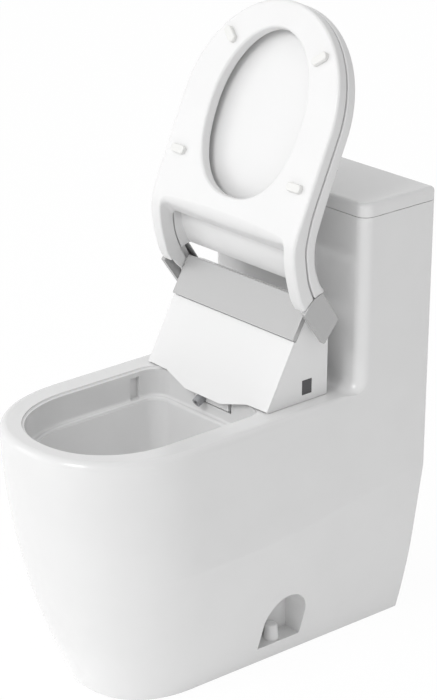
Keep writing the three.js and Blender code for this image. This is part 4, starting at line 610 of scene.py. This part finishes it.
def build_cover():
    """Tank cover: a slab with small back corners, a quarter-round top edge, a locating lip and the button hole."""
    size = in_mm(bpy.context.scene.toilet_body)
    top, low = size.tank_height, size.tank_height - size.cover_height
    valve = size.tank_front + size.tank_depth / 2 - size.valve_ahead
    rise, draw = quarter(size.cover_arris, 4)
    rows = [at_height(tank_plan(size, size.cover_arris - r), low + d) for r, d in zip(rise, draw)]
    rise, draw = quarter(size.cover_rounding, 14)
    rows += [at_height(tank_plan(size, d), top - size.cover_rounding + r) for r, d in zip(rise, draw)]
    cover = skin("glazed_tank_cover", rows)
    inset = size.tank_wall + size.lip_play
    lip = skin("lip", [at_height(tank_plan(size, inset, corner=size.tank_room_corner - size.lip_play), z)
                       for z in (low - size.lip_drop, low + 1)])
    settle(cover, joins=[lip])
    pocket = skin("pocket", [at_height(tank_plan(size, inset + size.lip_wall, corner=size.pocket_corner), z)
                             for z in (low - size.lip_drop - PAST, top - size.cover_thickness)])
    settle(cover, cuts=[pocket, rod("button_hole", 2, size.button_hole, (0, valve), low - PAST, top + PAST, 96)])
    dress(cover, "tank_cover", "ceramic", ["tank_lid"])


# Ring and lid, drawn closed and turned about the hinge line

RING_UNDER = [(-90, 8), (-45, 8), (8, 9.4), (33.8, 17.2), (60, 33), (88.6, 56), (101, 70.3), (114.8, 93.4)]
RING_OVER = [(-90, 28.6), (-40, 28.6), (-4.4, 33.1), (18, 39.4), (39.3, 51.3), (61.2, 66.5), (81.1, 87.4),
             (97, 107.6)]
LID_OVER = [(-90, 50.2), (-27.2, 52.2), (-0.6, 55.1), (18.4, 62.2), (36.5, 72.7), (54.4, 89.7), (65.4, 106.2),
            (72, 121.2)]
RING_ARM = [(-16.6, -58.3), (-5.8, -36), (-2.2, -25), (9, -9), (-12.06, 5.36), (-20, -26), (-33.5, -46.5)]
LID_ARM = [(-38.5, -45.5), (-2, -12.7), (-12.06, 4.7), (-43.5, -35.5)]
PADS = {"rear": (134, 70, 0), "front": (101, 265.5, 38)}  # to the side, ahead, and turned by degrees
TAIL_STEPS = 96
TAIL_SHARE = 0.59  # of the bend, over which the dish under the lid goes over to the plain skin
NOSE_STEPS = 60


def side_line(size, table, offset=0.0):
    """Side curve in depth and height, straight through the nose, then evenly spread points along the bend."""
    line = spline([(y, size.rim_height + z) for y, z in table], TAIL_STEPS)
    along = np.gradient(line, axis=0)
    along /= np.linalg.norm(along, axis=1)[:, None]
    return line + offset * np.column_stack([-along[:, 1], along[:, 0]])


def bent_plate(name, size, under, over, under_round, over_round, nose_drop):
    """Plate bent along two side curves, with a half-ellipse nose. Rows run from the under side round the edge to
    the upper side: each row is the outline drawn in by a quarter-round step; strips close both faces."""
    angle = np.linspace(0, math.pi / 2, 91)
    rise_u, draw_u = quarter(under_round, 6)
    rise_o, draw_o = quarter(over_round, 10)
    inset = np.concatenate([under_round - rise_u, draw_o])
    above = np.concatenate([draw_u, rise_o - over_round])
    from_top = np.concatenate([np.zeros(len(rise_u), bool), np.ones(len(rise_o), bool)])
    rows = []
    for draw, lift, high in zip(inset, above, from_top):
        sine, cosine = np.sin(angle)[::-1], np.cos(angle)[::-1]
        y = -size.ring_widest_ahead - (size.ring_reach - draw) * sine
        x = (size.ring_half - draw) * cosine
        low = np.concatenate([np.column_stack([y, np.full(len(y), under[0, 1])]), under])
        top = np.concatenate([np.column_stack([y, over[0, 1] - nose_drop * sine ** 4]), over])
        x = np.concatenate([x, np.full(len(under), size.ring_half - draw)])
        across = top - low
        length = np.linalg.norm(across, axis=1)[:, None]
        base = top if high else low
        at = base + across / length * lift
        right = np.column_stack([x, at])
        left = right[:0:-1] * (-1, 1, 1)
        rows.append(np.concatenate([left, right]))
    rows = np.array(rows)
    count, columns = rows.shape[:2]
    faces = grid_faces(count, columns, around=False)
    middle = columns // 2
    for row in (0, count - 1):
        start = row * columns
        faces += [(start + k, start + k + 1, start + columns - 2 - k, start + columns - 1 - k)
                  for k in range(middle - 1)]
        faces.append((start + middle - 1, start + middle, start + middle + 1))
    faces.append([r * columns for r in range(count)] + [r * columns + columns - 1 for r in range(count)][::-1])
    return solid(name, rows.reshape(-1, 3), faces)


def arm_tool(name, size, table, start, end):
    """Arm and hub: an outline about the hinge line and a round boss, from one X to another."""
    y, z = (np.array(table) + (size.hinge_depth, size.hinge_height)).T
    arm = skin(name, [np.column_stack([np.full(len(y), x), y, z]) for x in (start, end)])
    hub = rod(name + "_hub", 0, size.hub_radius, (size.hinge_depth, size.hinge_height), start, end, 72)
    return settle(arm, joins=[hub])


def seam_tool(size):
    """Round room for the hinge caps between the plates and the washing unit."""
    return rod("seam", 0, size.seam_radius + size.arm_play, (size.hinge_depth, size.hinge_height), -FAR, FAR, 256)


def raised(size, angle):
    """Turn about the hinge line from closed to raised."""
    place = Matrix.Translation(Vector((0, size.hinge_depth, size.hinge_height)) * MM)
    return place @ Matrix.Rotation(-angle, 4, "X") @ place.inverted()


def hole_rows(size):
    """Hole of the ring: half an ellipse in front and half a fuller superellipse behind, flared by quarter rounds."""
    low = size.rim_height + size.ring_rise
    high = low + size.ring_thickness
    angle = 2 * math.pi * np.arange(192) / 192
    power = np.where(np.sin(angle) > 0, 2 / size.hole_power, 1.0)
    x = np.sign(np.cos(angle)) * np.abs(np.cos(angle)) ** power
    y = np.sign(np.sin(angle)) * np.abs(np.sin(angle)) ** power
    reach = np.where(np.sin(angle) > 0, size.hole_back, size.hole_front)
    rise, draw = quarter(size.hole_rounding, 8)
    steps = [(low - PAST, size.hole_rounding)]
    steps += [(low + d, size.hole_rounding - r) for r, d in zip(rise, draw)]
    steps += [(high - d, size.hole_rounding - r) for r, d in zip(rise[::-1], draw[::-1])]
    steps.append((high + PAST, size.hole_rounding))
    return [np.column_stack([(size.hole_half + grow) * x, -size.hole_ahead + (reach + grow) * y,
                             np.full(len(x), z)]) for z, grow in steps]


def divided(plan, longest):
    """Closed outline with its long stretches divided into even steps."""
    ahead = np.roll(plan, -1, 0)
    count = np.maximum(np.ceil(np.linalg.norm(ahead - plan, axis=1) / longest).astype(int), 1)
    start = np.repeat(np.arange(len(plan)), count)
    share = (np.arange(count.sum()) - np.repeat(np.cumsum(count) - count, count)) / np.repeat(count, count)
    return plan[start] + share[:, None] * (ahead - plan)[start]


def gap_rows(size, under, over):
    """Room between the legs of the ring: an outline with round front corners whose rows follow the plate's two
    faces, flared there by small quarter rounds, a wider one under the bridge. Its front leans back as it rises,
    and the lean fades out along the legs."""
    low = size.rim_height + size.ring_rise
    inner, edge, corner = size.leg_inner, size.gap_rounding, size.bridge_corner
    plan = divided(rounded_plan(-inner, inner, size.bridge_back, size.gap_back, corner, 3, 10), 3)
    step = np.roll(plan, -1, 0) - np.roll(plan, 1, 0)
    out = np.column_stack([step[:, 1], -step[:, 0]]) / np.linalg.norm(step, axis=1)[:, None]
    behind = plan[:, 1] - size.bridge_back
    near = np.clip(1 - (behind - corner) / size.gap_fade, 0, 1) * size.gap_lean
    front = np.clip(1 - behind / corner, 0, 1)
    middle = np.cos(math.pi / 2 * np.clip(plan[:, 0] / inner, -1, 1))
    fuller = 1 + (size.bridge_rounding / edge - 1) * front * np.sqrt(np.abs(middle))
    rise, draw = quarter(edge, 6)
    rows = []
    for line, sign, flat, wider in ((under, 1, low - FAR, fuller), (over, -1, low + FAR, 1)):
        part = []
        for drop, grow in zip(draw, edge - rise):
            x, y = (plan + out * (grow * wider * np.ones(len(plan)))[:, None]).T
            z = np.interp(y, line[:, 0], line[:, 1]) + sign * drop * wider
            y = y + near * (z - low)
            z = np.interp(y, line[:, 0], line[:, 1]) + sign * drop * wider
            part.append(np.column_stack([x, y, z]))
        part.insert(0, np.column_stack([part[0][:, :2], np.full(len(plan), flat)]))
        rows += part[::sign]
    return rows


def pad(name, size, x, ahead, turn):
    """Bumper: a long pill whose under edge is rounded over, standing on the ring's under side."""
    long, wide, edge = size.pad_half_length, size.pad_half_width, size.pad_rounding
    grow, drop = quarter(edge, 6)
    plan = rounded_plan(-long, long, -wide, wide, size.pad_corner, size.pad_corner, 10)
    low = size.rim_height + size.pad_play
    c, s = math.cos(turn), math.sin(turn)
    rows = [(1 - step / np.array((long, wide)), low + up) for step, up in zip(edge - grow, drop)]
    rows.append((1, size.rim_height + size.ring_rise - size.pad_play))
    turned = [at_height(plan * shrink @ np.array([(c, s), (-s, c)]), z) for shrink, z in rows]
    return skin(name, np.array(turned) + (x, -ahead, 0))


def build_seat():
    """Ring with its hole, legs and arms, and the lid with the dish under it; both turned to the raised pose."""
    size = in_mm(bpy.context.scene.toilet_seat)
    turn = raised(size, bpy.context.scene.toilet_swing.open_angle)
    axis = (size.hinge_depth, size.hinge_height)

    def arms(name, table, inner):
        return [arm_tool(name, size, table, *sorted((s * inner, s * (inner + size.arm_width)))) for s in (-1, 1)]

    under, over = side_line(size, RING_UNDER), side_line(size, RING_OVER)
    ring = bent_plate("moulded_ring", size, under, over, size.ring_rounding, size.ring_rounding, 0)
    settle(ring, cuts=[skin("ring_hole", hole_rows(size)), skin("leg_gap", gap_rows(size, under, over)),
                       seam_tool(size)])
    inner = size.leg_inner + size.arm_play
    settle(ring, joins=arms("ring_arm", RING_ARM, inner))
    settle(ring, cuts=[rod("bush_bore", 0, size.bush_bore, axis, -FAR, FAR, 72)])
    dress(ring, "ring", "seat_gloss", ["seat_ring"], matrix=turn)
    for end, (x, ahead, angle) in PADS.items():
        for side, s in (("left", -1), ("right", 1)):
            made = pad("soft_bumper_%s_%s" % (end, side), size, s * x, ahead, -s * math.radians(angle))
            dress(made, "ring", "pale_rubber", ["ring_bumper_%s_%s" % (end, side)], matrix=turn)

    low, top = side_line(size, RING_OVER, size.lid_gap), side_line(size, LID_OVER)
    lid = bent_plate("moulded_lid", size, low, top, size.lid_arris, size.lid_rounding, size.lid_rounding / 2)
    settle(lid, cuts=[skin("dish", dish_rows(size, low, top)), seam_tool(size)])
    inner += size.arm_width + 2 * size.arm_play
    settle(lid, joins=arms("lid_arm", LID_ARM, inner))
    settle(lid, cuts=[rod("shaft_bore", 0, size.shaft_bore, axis, -FAR, FAR, 48)])
    dress(lid, "lid", "seat_gloss", ["seat_lid"], matrix=turn)


def dish_rows(size, low, top):
    """Room under the lid: across each station a flat dish with sloping sides, which deepens and widens towards
    the hinge by a smooth step until only the skin is left over the washing unit."""
    def step(x, a, b):
        t = np.clip((x - a) / (b - a), 0, 1)
        return t * t * (3 - 2 * t)
    margin = size.dish_margin
    sine = np.linspace(0.975, 0, NOSE_STEPS)
    y = -size.ring_widest_ahead - size.ring_reach * sine
    low = np.concatenate([np.column_stack([y, np.full(NOSE_STEPS, low[0, 1])]), low])
    top = np.concatenate([np.column_stack([y, top[0, 1] - size.lid_rounding / 2 * sine ** 4]), top])
    half = np.concatenate([size.ring_half * np.sqrt(1 - sine ** 2), np.full(TAIL_STEPS + 1, size.ring_half)])
    tail = step(np.concatenate([np.zeros(NOSE_STEPS), np.linspace(0, 1, TAIL_STEPS + 1)]), 0, TAIL_SHARE)
    thick = np.linalg.norm(top - low, axis=1)
    room = step(half - margin, 0, margin)
    inner = np.maximum((half - margin) * (1 - tail) + size.leg_inner * tail, half * 0.1)
    slope = np.minimum(size.dish_flank * (1 - tail) + size.dish_flank_rear * tail, inner / 2)
    dish = np.maximum(size.dish_depth * room * (1 - tail) + (thick - size.lid_skin) * tail, 0.3)
    t = np.linspace(0, 1, 9)
    flank = inner[:, None] - slope[:, None] * t
    lift = dish[:, None] * t * t * (3 - 2 * t)
    x = np.concatenate([flank[:, :1], flank, -flank[:, ::-1], -flank[:, :1]], 1)
    h = np.pad(np.concatenate([lift, lift[:, ::-1]], 1), ((0, 0), (1, 1)), constant_values=-PAST)
    at = low[:, None] + ((top - low) / thick[:, None])[:, None] * h[..., None]
    return np.concatenate([x[..., None], at], -1)


# Stage, light and camera

CAMERA_PLACE = (2615.6, -2271.7, 1893.8)
CAMERA_AZIMUTH = 48.488
CAMERA_ELEVATION = 21.649
CAMERA_ROLL = 0.35
FOCAL_PIXELS = 2379.66
FRAME_PIXELS = 700
LAMPS = {  # place, target and side in metres
    "key": ((-3.2, -3.4, 1.7), (0, 0, 0.4), 2.4),
    "front": ((0.3, -3.5, 3.4), (0, 0, 0.5), 1.6),
    "low": ((3.0, -0.6, 0.2), (0.15, 0, 0.3), 1.0),
}


def place_camera():
    """Camera at the photograph's place: the sight line is given by azimuth, elevation and roll."""
    data = bpy.data.cameras.new("photo_camera")
    data.sensor_fit = "VERTICAL"
    data.sensor_height = 24.0
    data.lens = data.sensor_height * FOCAL_PIXELS / FRAME_PIXELS
    data.clip_end = 50
    camera = bpy.data.objects.new("photo_camera", data)
    a, e, r = (math.radians(v) for v in (CAMERA_AZIMUTH, CAMERA_ELEVATION, CAMERA_ROLL))
    back = Vector((math.sin(a) * math.cos(e), -math.cos(a) * math.cos(e), math.sin(e)))
    level = Vector((math.cos(a), math.sin(a), 0))
    over = back.cross(level)
    right = level * math.cos(r) + over * math.sin(r)
    up = over * math.cos(r) - level * math.sin(r)
    turn = Matrix((right, up, back)).transposed().to_4x4()
    camera.matrix_world = Matrix.Translation(Vector(CAMERA_PLACE) * MM) @ turn
    bpy.context.scene.collection.objects.link(camera)
    bpy.context.scene.camera = camera


def lamp(name, place, target, size, power):
    """Square area lamp at a place, facing a target."""
    data = bpy.data.lights.new(name, "AREA")
    data.shape = "SQUARE"
    data.size = size
    data.energy = power
    lamp_object = bpy.data.objects.new(name, data)
    lamp_object.location = place
    lamp_object.rotation_euler = (Vector(target) - Vector(place)).to_track_quat("-Z", "Y").to_euler()
    bpy.context.scene.collection.objects.link(lamp_object)


def value(name, description, default, unit="NONE"):
    """A single number as a property."""
    return bpy.props.FloatProperty(name=name, description=description, default=default, unit=unit)


class TOILET_PG_stage(bpy.types.PropertyGroup):
    floor_size: value("Floor size", "Side of the square floor", 24.0, "LENGTH")
    floor_white: value("Floor in view", "Share of plain white that the camera sees on the floor", 0.94)
    floor_glow: value("Floor glow", "Light that the lit table sends up through the floor", 0.22)
    sky_low: value("Light from the walls", "Strength of the even light near the horizon", 0.34)
    sky_high: value("Light from above", "Strength of the even light overhead", 0.83)
    sky_ahead: value("Light from ahead", "Share by which the even light is stronger in front", 0.7)
    key_power: value("Key lamp", "Power of the large lamp in front on the left", 23.0, "POWER")
    front_power: value("Front lamp", "Power of the lamp high in front", 54.0, "POWER")
    low_power: value("Low lamp", "Power of the lamp near the floor on the right", 2.0, "POWER")


def build_stage():
    """Pale floor that glows a little, as a lit table does, even light that is stronger overhead and ahead, three
    lamps and the camera. Camera, mirror and see-through rays meet a plain white background; the camera alone sees
    the floor nearly plain white."""
    choice = bpy.context.scene.toilet_stage
    half = choice.floor_size / 2
    mesh = bpy.data.meshes.new("studio_floor")
    mesh.from_pydata([(-half, -half, 0), (half, -half, 0), (half, half, 0), (-half, half, 0)], [], [(0, 1, 2, 3)])
    floor = bpy.data.objects.new("studio_floor", mesh)
    bpy.context.scene.collection.objects.link(floor)
    made, tree, shader = surface("white_studio_floor", "floor", 0.9, {
        "Emission Color": (1, 1, 1, 1), "Emission Strength": choice.floor_glow})
    path = add_node(tree, "ShaderNodeLightPath")
    share = add_node(tree, "ShaderNodeMath", {"operation": "MULTIPLY"}, {0: path.outputs["Is Camera Ray"]})
    share.inputs[1].default_value = choice.floor_white
    white = add_node(tree, "ShaderNodeEmission", {"Color": (1, 1, 1, 1), "Strength": 1.0})
    mix = add_node(tree, "ShaderNodeMixShader", links={
        "Fac": share.outputs["Value"], 1: shader.outputs["BSDF"], 2: white.outputs["Emission"]})
    tree.links.new(mix.outputs["Shader"], tree.nodes["Material Output"].inputs["Surface"])
    floor.data.materials.append(made)

    world = bpy.data.worlds.new("studio_world")
    bpy.context.scene.world = world
    world.use_nodes = True
    tree = world.node_tree
    tree.nodes.clear()
    path = add_node(tree, "ShaderNodeLightPath")
    straight = add_node(tree, "ShaderNodeMath", {"operation": "MAXIMUM"}, {
        0: path.outputs["Is Camera Ray"], 1: path.outputs["Is Transmission Ray"]})
    seen = add_node(tree, "ShaderNodeMath", {"operation": "MAXIMUM"}, {
        0: straight.outputs["Value"], 1: path.outputs["Is Glossy Ray"]})
    place = add_node(tree, "ShaderNodeTexCoord")
    parts = add_node(tree, "ShaderNodeSeparateXYZ", links={"Vector": place.outputs["Generated"]})
    fall = add_node(tree, "ShaderNodeMapRange", {"To Min": choice.sky_low, "To Max": choice.sky_high},
                    {"Value": parts.outputs["Z"]})
    ahead = add_node(tree, "ShaderNodeMapRange", {
        "From Min": -1.0, "From Max": 1.0, "To Min": 1 + choice.sky_ahead, "To Max": 1 - choice.sky_ahead},
        {"Value": parts.outputs["Y"]})
    both = add_node(tree, "ShaderNodeMath", {"operation": "MULTIPLY"}, {
        0: fall.outputs["Result"], 1: ahead.outputs["Result"]})
    soft = add_node(tree, "ShaderNodeBackground", {"Color": (1, 1, 1, 1)}, {"Strength": both.outputs["Value"]})
    white = add_node(tree, "ShaderNodeBackground", {"Color": (1, 1, 1, 1), "Strength": 1.0})
    mix = add_node(tree, "ShaderNodeMixShader", links={
        "Fac": seen.outputs["Value"], 1: soft.outputs["Background"], 2: white.outputs["Background"]})
    add_node(tree, "ShaderNodeOutputWorld", links={"Surface": mix.outputs["Shader"]})
    for name, where in LAMPS.items():
        lamp(name + "_lamp", *where, getattr(choice, name + "_power"))
    bpy.context.scene.view_settings.view_transform = "Standard"
    place_camera()


def sizes(table):
    """Properties from a table of values in millimetres, each named for its key. A third entry marks a plain number,
    such as a superellipse's power, where 2 is an ellipse and more is fuller."""
    return {key: bpy.props.FloatProperty(
        name=key.replace("_", " ").capitalize(), description=text, default=value if plain else value * MM,
        unit="NONE" if plain else "LENGTH", precision=4) for key, (value, text, *plain) in table.items()}


def colour(name, description, code):
    """A colour from its sRGB hex value."""
    return bpy.props.FloatVectorProperty(name=name, description=description, default=linear(code), size=4,
                                         subtype="COLOR", min=0, max=1)


class TOILET_PG_colours(bpy.types.PropertyGroup):
    glaze: colour("Glaze", "Fired glaze of body, cover and bolt caps", "#e2e2e2")
    seat: colour("Ring and lid", "White of ring and lid", "#e4e4e4")
    casing: colour("Casing", "White of the washing unit", "#e8e8e8")
    band: colour("Band", "Silver paint of the band", "#b5b5b5")
    chrome: colour("Chrome", "Chromium plate of the button", "#dcdddf")
    steel: colour("Steel", "Stainless steel of shaft and bolts", "#a9abad")
    window: colour("Window", "Smoked acrylic of the receiver window", "#48484a")
    rubber: colour("Black rubber", "Rubber of the outlet ring", "#2c2d2e")
    bumper: colour("Bumpers", "Soft pads under ring and lid", "#e5e5e3")
    moulding: colour("Inner mouldings", "Plastic of the tank works and the unit's inside", "#dcdee0")
    spray_tip: colour("Spray tip", "Grey of the nozzle's tip", "#9c9da0")
    silicone: colour("Seal", "Silicone of the flush valve's seal", "#52708f")
    floor: colour("Floor", "Studio floor", "#f7f7f7")


class TOILET_PG_body(bpy.types.PropertyGroup):
    __annotations__ = sizes({
        "width": (352, "Width of rim, skirt and tank"),
        "rim_height": (450, "Top of the rim above the floor"),
        "rim_edge": (12, "Radius round the rim"),
        "rim_reach": (194.5, "Nose ahead of the rim's widest line"),
        "rim_widest_ahead": (147.5, "Widest line of the rim ahead of the origin"),
        "rim_power": (2.19, "Power of the rim's superellipse", "plain"),
        "foot_power": (2.25, "Power of the foot's superellipse", "plain"),
        "foot_inset_front": (63.8, "Foot inside the body's side in front"),
        "foot_inset_back": (51.5, "Foot inside the body's side at the back"),
        "niche_inset": (80, "Flat of the side niches inside the body's side"),
        "niche_wall": (10, "Wall inside a niche's flat"),
        "niche_front": (18, "Front of a niche behind the origin"),
        "niche_back": (108, "Back of a niche behind the origin"),
        "niche_low": (34, "Floor of a niche"),
        "niche_spring": (78, "Height at which a niche's arch springs"),
        "niche_rise": (48, "Rise of a niche's arch"),
        "bolt_outside": (16, "Floor bolt outside the niche's flat"),
        "bolt_depth": (62, "Floor bolt behind the origin"),
        "bolt_hole": (5.5, "Radius of a floor bolt's hole"),
        "cap_radius": (13, "Radius of a bolt cap at its foot"),
        "cap_top": (10, "Radius of a bolt cap at its shoulder"),
        "cap_shoulder": (58.3, "Height of a bolt cap's shoulder"),
        "cap_rise": (5, "Rise of its dome"),
        "cap_wall": (1.5, "Wall of a bolt cap"),
        "cap_hollow_drop": (0.7, "Shoulder of a cap's hollow below the cap's own"),
        "cap_play": (0.3, "Bolt cap above the niche's floor"),
        "foot_widest_ahead": (96.5, "Widest line of the foot ahead of the origin"),
        "foot_setback": (111, "Foot behind the rim's nose"),
        "foot_edge": (3, "Chamfer at the floor"),
        "fade_ahead": (30, "Ahead of the tank's front, where the rim's round begins to fade out"),
        "fade_length": (26, "Length over which the rim's round fades out"),
        "skirt_wall": (12, "Wall round the hollow of the skirt"),
        "deck_thickness": (25, "Deck over the hollow"),
        "pipe_wall": (10, "Wall of trapway and feed channel"),
        "trap_bore": (27, "Inner radius of the trapway"),
        "trap_end": (12.3, "Height at which the trapway's wall ends"),
        "feed_bore": (24, "Inner radius of the feed channel"),
        "rear_half": (92, "Half width and arch radius of the rear opening"),
        "rear_spring": (148, "Height at which the rear opening's arch springs"),
        "back_corner": (8, "Radius of the corners at the back"),
        "tank_front": (185, "Front of the tank behind the origin"),
        "tank_depth": (157, "Depth of the tank"),
        "tank_height": (760, "Top of the tank cover"),
        "tank_corner": (20, "Radius of the tank's front corners"),
        "tank_fillet": (22, "Hollow round from deck to tank"),
        "tank_wall": (13, "Wall of the tank"),
        "tank_room_corner": (12, "Radius of the tank room's corners"),
        "tank_floor": (430, "Height of the tank room's floor"),
        "tank_base": (14, "Thickness under the tank room's floor"),
        "valve_ahead": (1.5, "Flush valve ahead of the tank's middle"),
        "valve_hole": (33.3, "Radius of the flush valve's hole"),
        "valve_boss": (46, "Radius of the boss round it"),
        "valve_boss_low": (361, "Height of the boss's foot"),
        "fill_hole": (10.3, "Radius of the fill valve's hole"),
        "fill_inset": (71, "Fill valve inside the tank's left side"),
        "deck_hole": (7, "Radius of a fixing bolt's hole"),
        "deck_hole_side": (70, "Fixing bolt beside the middle"),
        "deck_hole_depth": (112, "Fixing bolt behind the origin"),
        "cover_height": (22, "Height of the tank cover"),
        "cover_seam": (0.5, "Gap between tank and cover"),
        "cover_rounding": (8, "Radius of the cover's top edge"),
        "cover_arris": (1.2, "Radius of the cover's low edge"),
        "cover_thickness": (11, "Thickness of the cover over its pocket"),
        "lip_play": (1.5, "Cover's locating lip inside the tank's wall"),
        "lip_drop": (8, "Cover's lip below the cover"),
        "lip_wall": (6, "Wall of the cover's lip"),
        "pocket_corner": (6, "Radius of the corners inside the lip"),
        "button_hole": (20.6, "Radius of the button's hole"),
        "opening_half": (128, "Half width of the bowl's opening"),
        "opening_widest": (163.6, "Widest line of the opening ahead of the origin"),
        "opening_reach": (145.3, "Opening ahead of its widest line"),
        "opening_power": (2.157, "Power of the opening's superellipse", "plain"),
        "opening_back": (25, "Back edge of the opening"),
        "opening_corner": (34, "Radius of the opening's back corners"),
        "lip": (4, "Radius of the opening's edge"),
        "ledge_drop": (49.5, "Ledge below the rim"),
        "ledge_width": (9, "Width of the ledge"),
        "ledge_soft": (4, "Radius in the ledge's hollow corner and over its edge"),
        "recess_depth": (7, "Rinsing slot outside the opening's side"),
        "recess_ahead": (33, "Front of the rinsing slot ahead of the origin"),
        "recess_short": (5, "Back end of the rinsing slot ahead of the opening's corner"),
        "recess_drop": (12, "Top of the rinsing slot below the rim"),
        "bowl_wall": (11, "Wall of bowl and nozzle pocket"),
        "sump_half": (50, "Half width of the sump"),
        "sump_widest": (62, "Widest line of the sump ahead of the origin"),
        "sump_reach": (52, "Sump ahead of its widest line"),
        "sump_back": (-8, "Back of the sump"),
        "sump_corner": (48, "Radius of the sump's back corners"),
        "sump_floor": (186, "Height of the sump's floor"),
        "sump_round": (12, "Round from the slope to the sump's floor"),
    })


class TOILET_PG_seat(bpy.types.PropertyGroup):
    __annotations__ = sizes({
        "rim_height": (450, "Top of the rim above the floor"),
        "hinge_depth": (115.3, "Hinge line behind the origin"),
        "hinge_height": (581.1, "Hinge line above the floor"),
        "seam_radius": (55, "Round seam between plates and hinge caps"),
        "ring_half": (168, "Half width of ring and lid"),
        "ring_reach": (180, "Nose ahead of the widest line"),
        "ring_widest_ahead": (160.5, "Widest line ahead of the origin"),
        "ring_thickness": (20.6, "Thickness of the ring"),
        "ring_rise": (8, "Under side of the ring above the rim"),
        "ring_rounding": (5, "Radius of the ring's edges"),
        "hole_half": (101.5, "Half width of the ring's hole"),
        "hole_front": (137, "Hole ahead of its widest line"),
        "hole_back": (134, "Hole behind its widest line"),
        "hole_ahead": (159, "Widest line of the hole ahead of the origin"),
        "hole_rounding": (4.5, "Radius of the hole's edges"),
        "hole_power": (2.3, "Power of the hole's rear half", "plain"),
        "bridge_back": (12.7, "Rear edge of the bridge behind the origin"),
        "bridge_corner": (12, "Radius between bridge and legs"),
        "bridge_rounding": (14, "Radius under the bridge's rear edge, in its middle"),
        "gap_rounding": (3, "Radius along the edges between the legs"),
        "gap_back": (140, "Back of the gap behind the origin"),
        "gap_lean": (0.48169, "Lean of the gap's front over its height", "plain"),
        "gap_fade": (60, "Length over which the front's lean fades out"),
        "leg_inner": (144.4, "Inner face of the legs"),
        "arm_width": (6.7, "Width of an arm of ring or lid"),
        "arm_play": (0.4, "Play beside an arm and round the hinge caps"),
        "hub_radius": (13.4, "Radius of an arm's hub"),
        "bush_bore": (9.1, "Bore in the ring's arms"),
        "shaft_bore": (5.3, "Bore in the lid's arms"),
        "pad_half_length": (15, "Half length of a bumper"),
        "pad_half_width": (7, "Half width of a bumper"),
        "pad_corner": (6.2, "Radius of a bumper's ends"),
        "pad_rounding": (2.4, "Radius of a bumper's under edge"),
        "pad_play": (0.3, "Play over and under a bumper"),
        "lid_gap": (1.6, "Lid above the ring"),
        "lid_rounding": (7, "Radius of the lid's upper edge"),
        "lid_arris": (2, "Radius of the lid's under edge"),
        "lid_skin": (4, "Thickness left over the washing unit"),
        "dish_margin": (34, "Plain band round the lid's dish"),
        "dish_depth": (9, "Depth of the dish"),
        "dish_flank": (14, "Width of the dish's sloping side in front"),
        "dish_flank_rear": (1.2, "The same at the hinge"),
    })


class TOILET_PG_swing(bpy.types.PropertyGroup):
    open_angle: bpy.props.FloatProperty(
        name="Raised angle", description="Turn of ring and lid from closed to raised",
        default=math.radians(113.9), subtype="ANGLE")


class TOILET_OT_body(bpy.types.Operator):
    """Makes the glazed casting and its bolt caps"""
    bl_idname = "toilet.body"
    bl_label = "Build the glazed body"

    def execute(self, context):
        build_body()
        return {"FINISHED"}


class TOILET_OT_cover(bpy.types.Operator):
    """Makes the tank cover"""
    bl_idname = "toilet.cover"
    bl_label = "Build the tank cover"

    def execute(self, context):
        build_cover()
        return {"FINISHED"}


class TOILET_OT_seat(bpy.types.Operator):
    """Makes the ring, its bumpers and the lid"""
    bl_idname = "toilet.seat"
    bl_label = "Build ring and lid"

    def execute(self, context):
        build_seat()
        return {"FINISHED"}


class TOILET_OT_stage(bpy.types.Operator):
    """Makes the floor, the lamps, the world and the camera"""
    bl_idname = "toilet.stage"
    bl_label = "Build the studio"

    def execute(self, context):
        build_stage()
        return {"FINISHED"}


class TOILET_OT_finishes(bpy.types.Operator):
    """Gives every carried-over solid the finish of its slot"""
    bl_idname = "toilet.finishes"
    bl_label = "Finish the solids"

    def execute(self, context):
        for part in frame["record"]["subparts"]:
            solid = bpy.data.objects[part["node"]]
            slot = part["material_slot"]
            made = finish_of(OWN_FINISH.get(part["node"], slot))
            for holder in solid.material_slots:
                holder.material = made
        return {"FINISHED"}


class TOILET_PT_panel(bpy.types.Panel):
    """Lists the steps in the order in which they run"""
    bl_idname = "TOILET_PT_panel"
    bl_label = "Toilet with washing seat"
    bl_space_type = "VIEW_3D"
    bl_region_type = "UI"
    bl_category = "Toilet"

    def draw(self, context):
        for kind in STEPS:
            self.layout.operator(kind.bl_idname)


GROUPS = {"toilet_colours": TOILET_PG_colours, "toilet_stage": TOILET_PG_stage, "toilet_body": TOILET_PG_body,
          "toilet_seat": TOILET_PG_seat, "toilet_swing": TOILET_PG_swing}
STEPS = (TOILET_OT_stage, TOILET_OT_finishes, TOILET_OT_body, TOILET_OT_cover, TOILET_OT_seat)
CLASSES = (*GROUPS.values(), *STEPS, TOILET_PT_panel)


def register():
    for kind in CLASSES:
        bpy.utils.register_class(kind)
    for name, kind in GROUPS.items():
        setattr(bpy.types.Scene, name, bpy.props.PointerProperty(type=kind))


def unregister():
    for name in GROUPS:
        delattr(bpy.types.Scene, name)
    for kind in reversed(CLASSES):
        bpy.utils.unregister_class(kind)


def main():
    register()
    bpy.ops.toilet.stage()
    bpy.ops.toilet.finishes()
    bpy.ops.toilet.body()
    bpy.ops.toilet.cover()
    bpy.ops.toilet.seat()


if __name__ == "__main__":
    main()
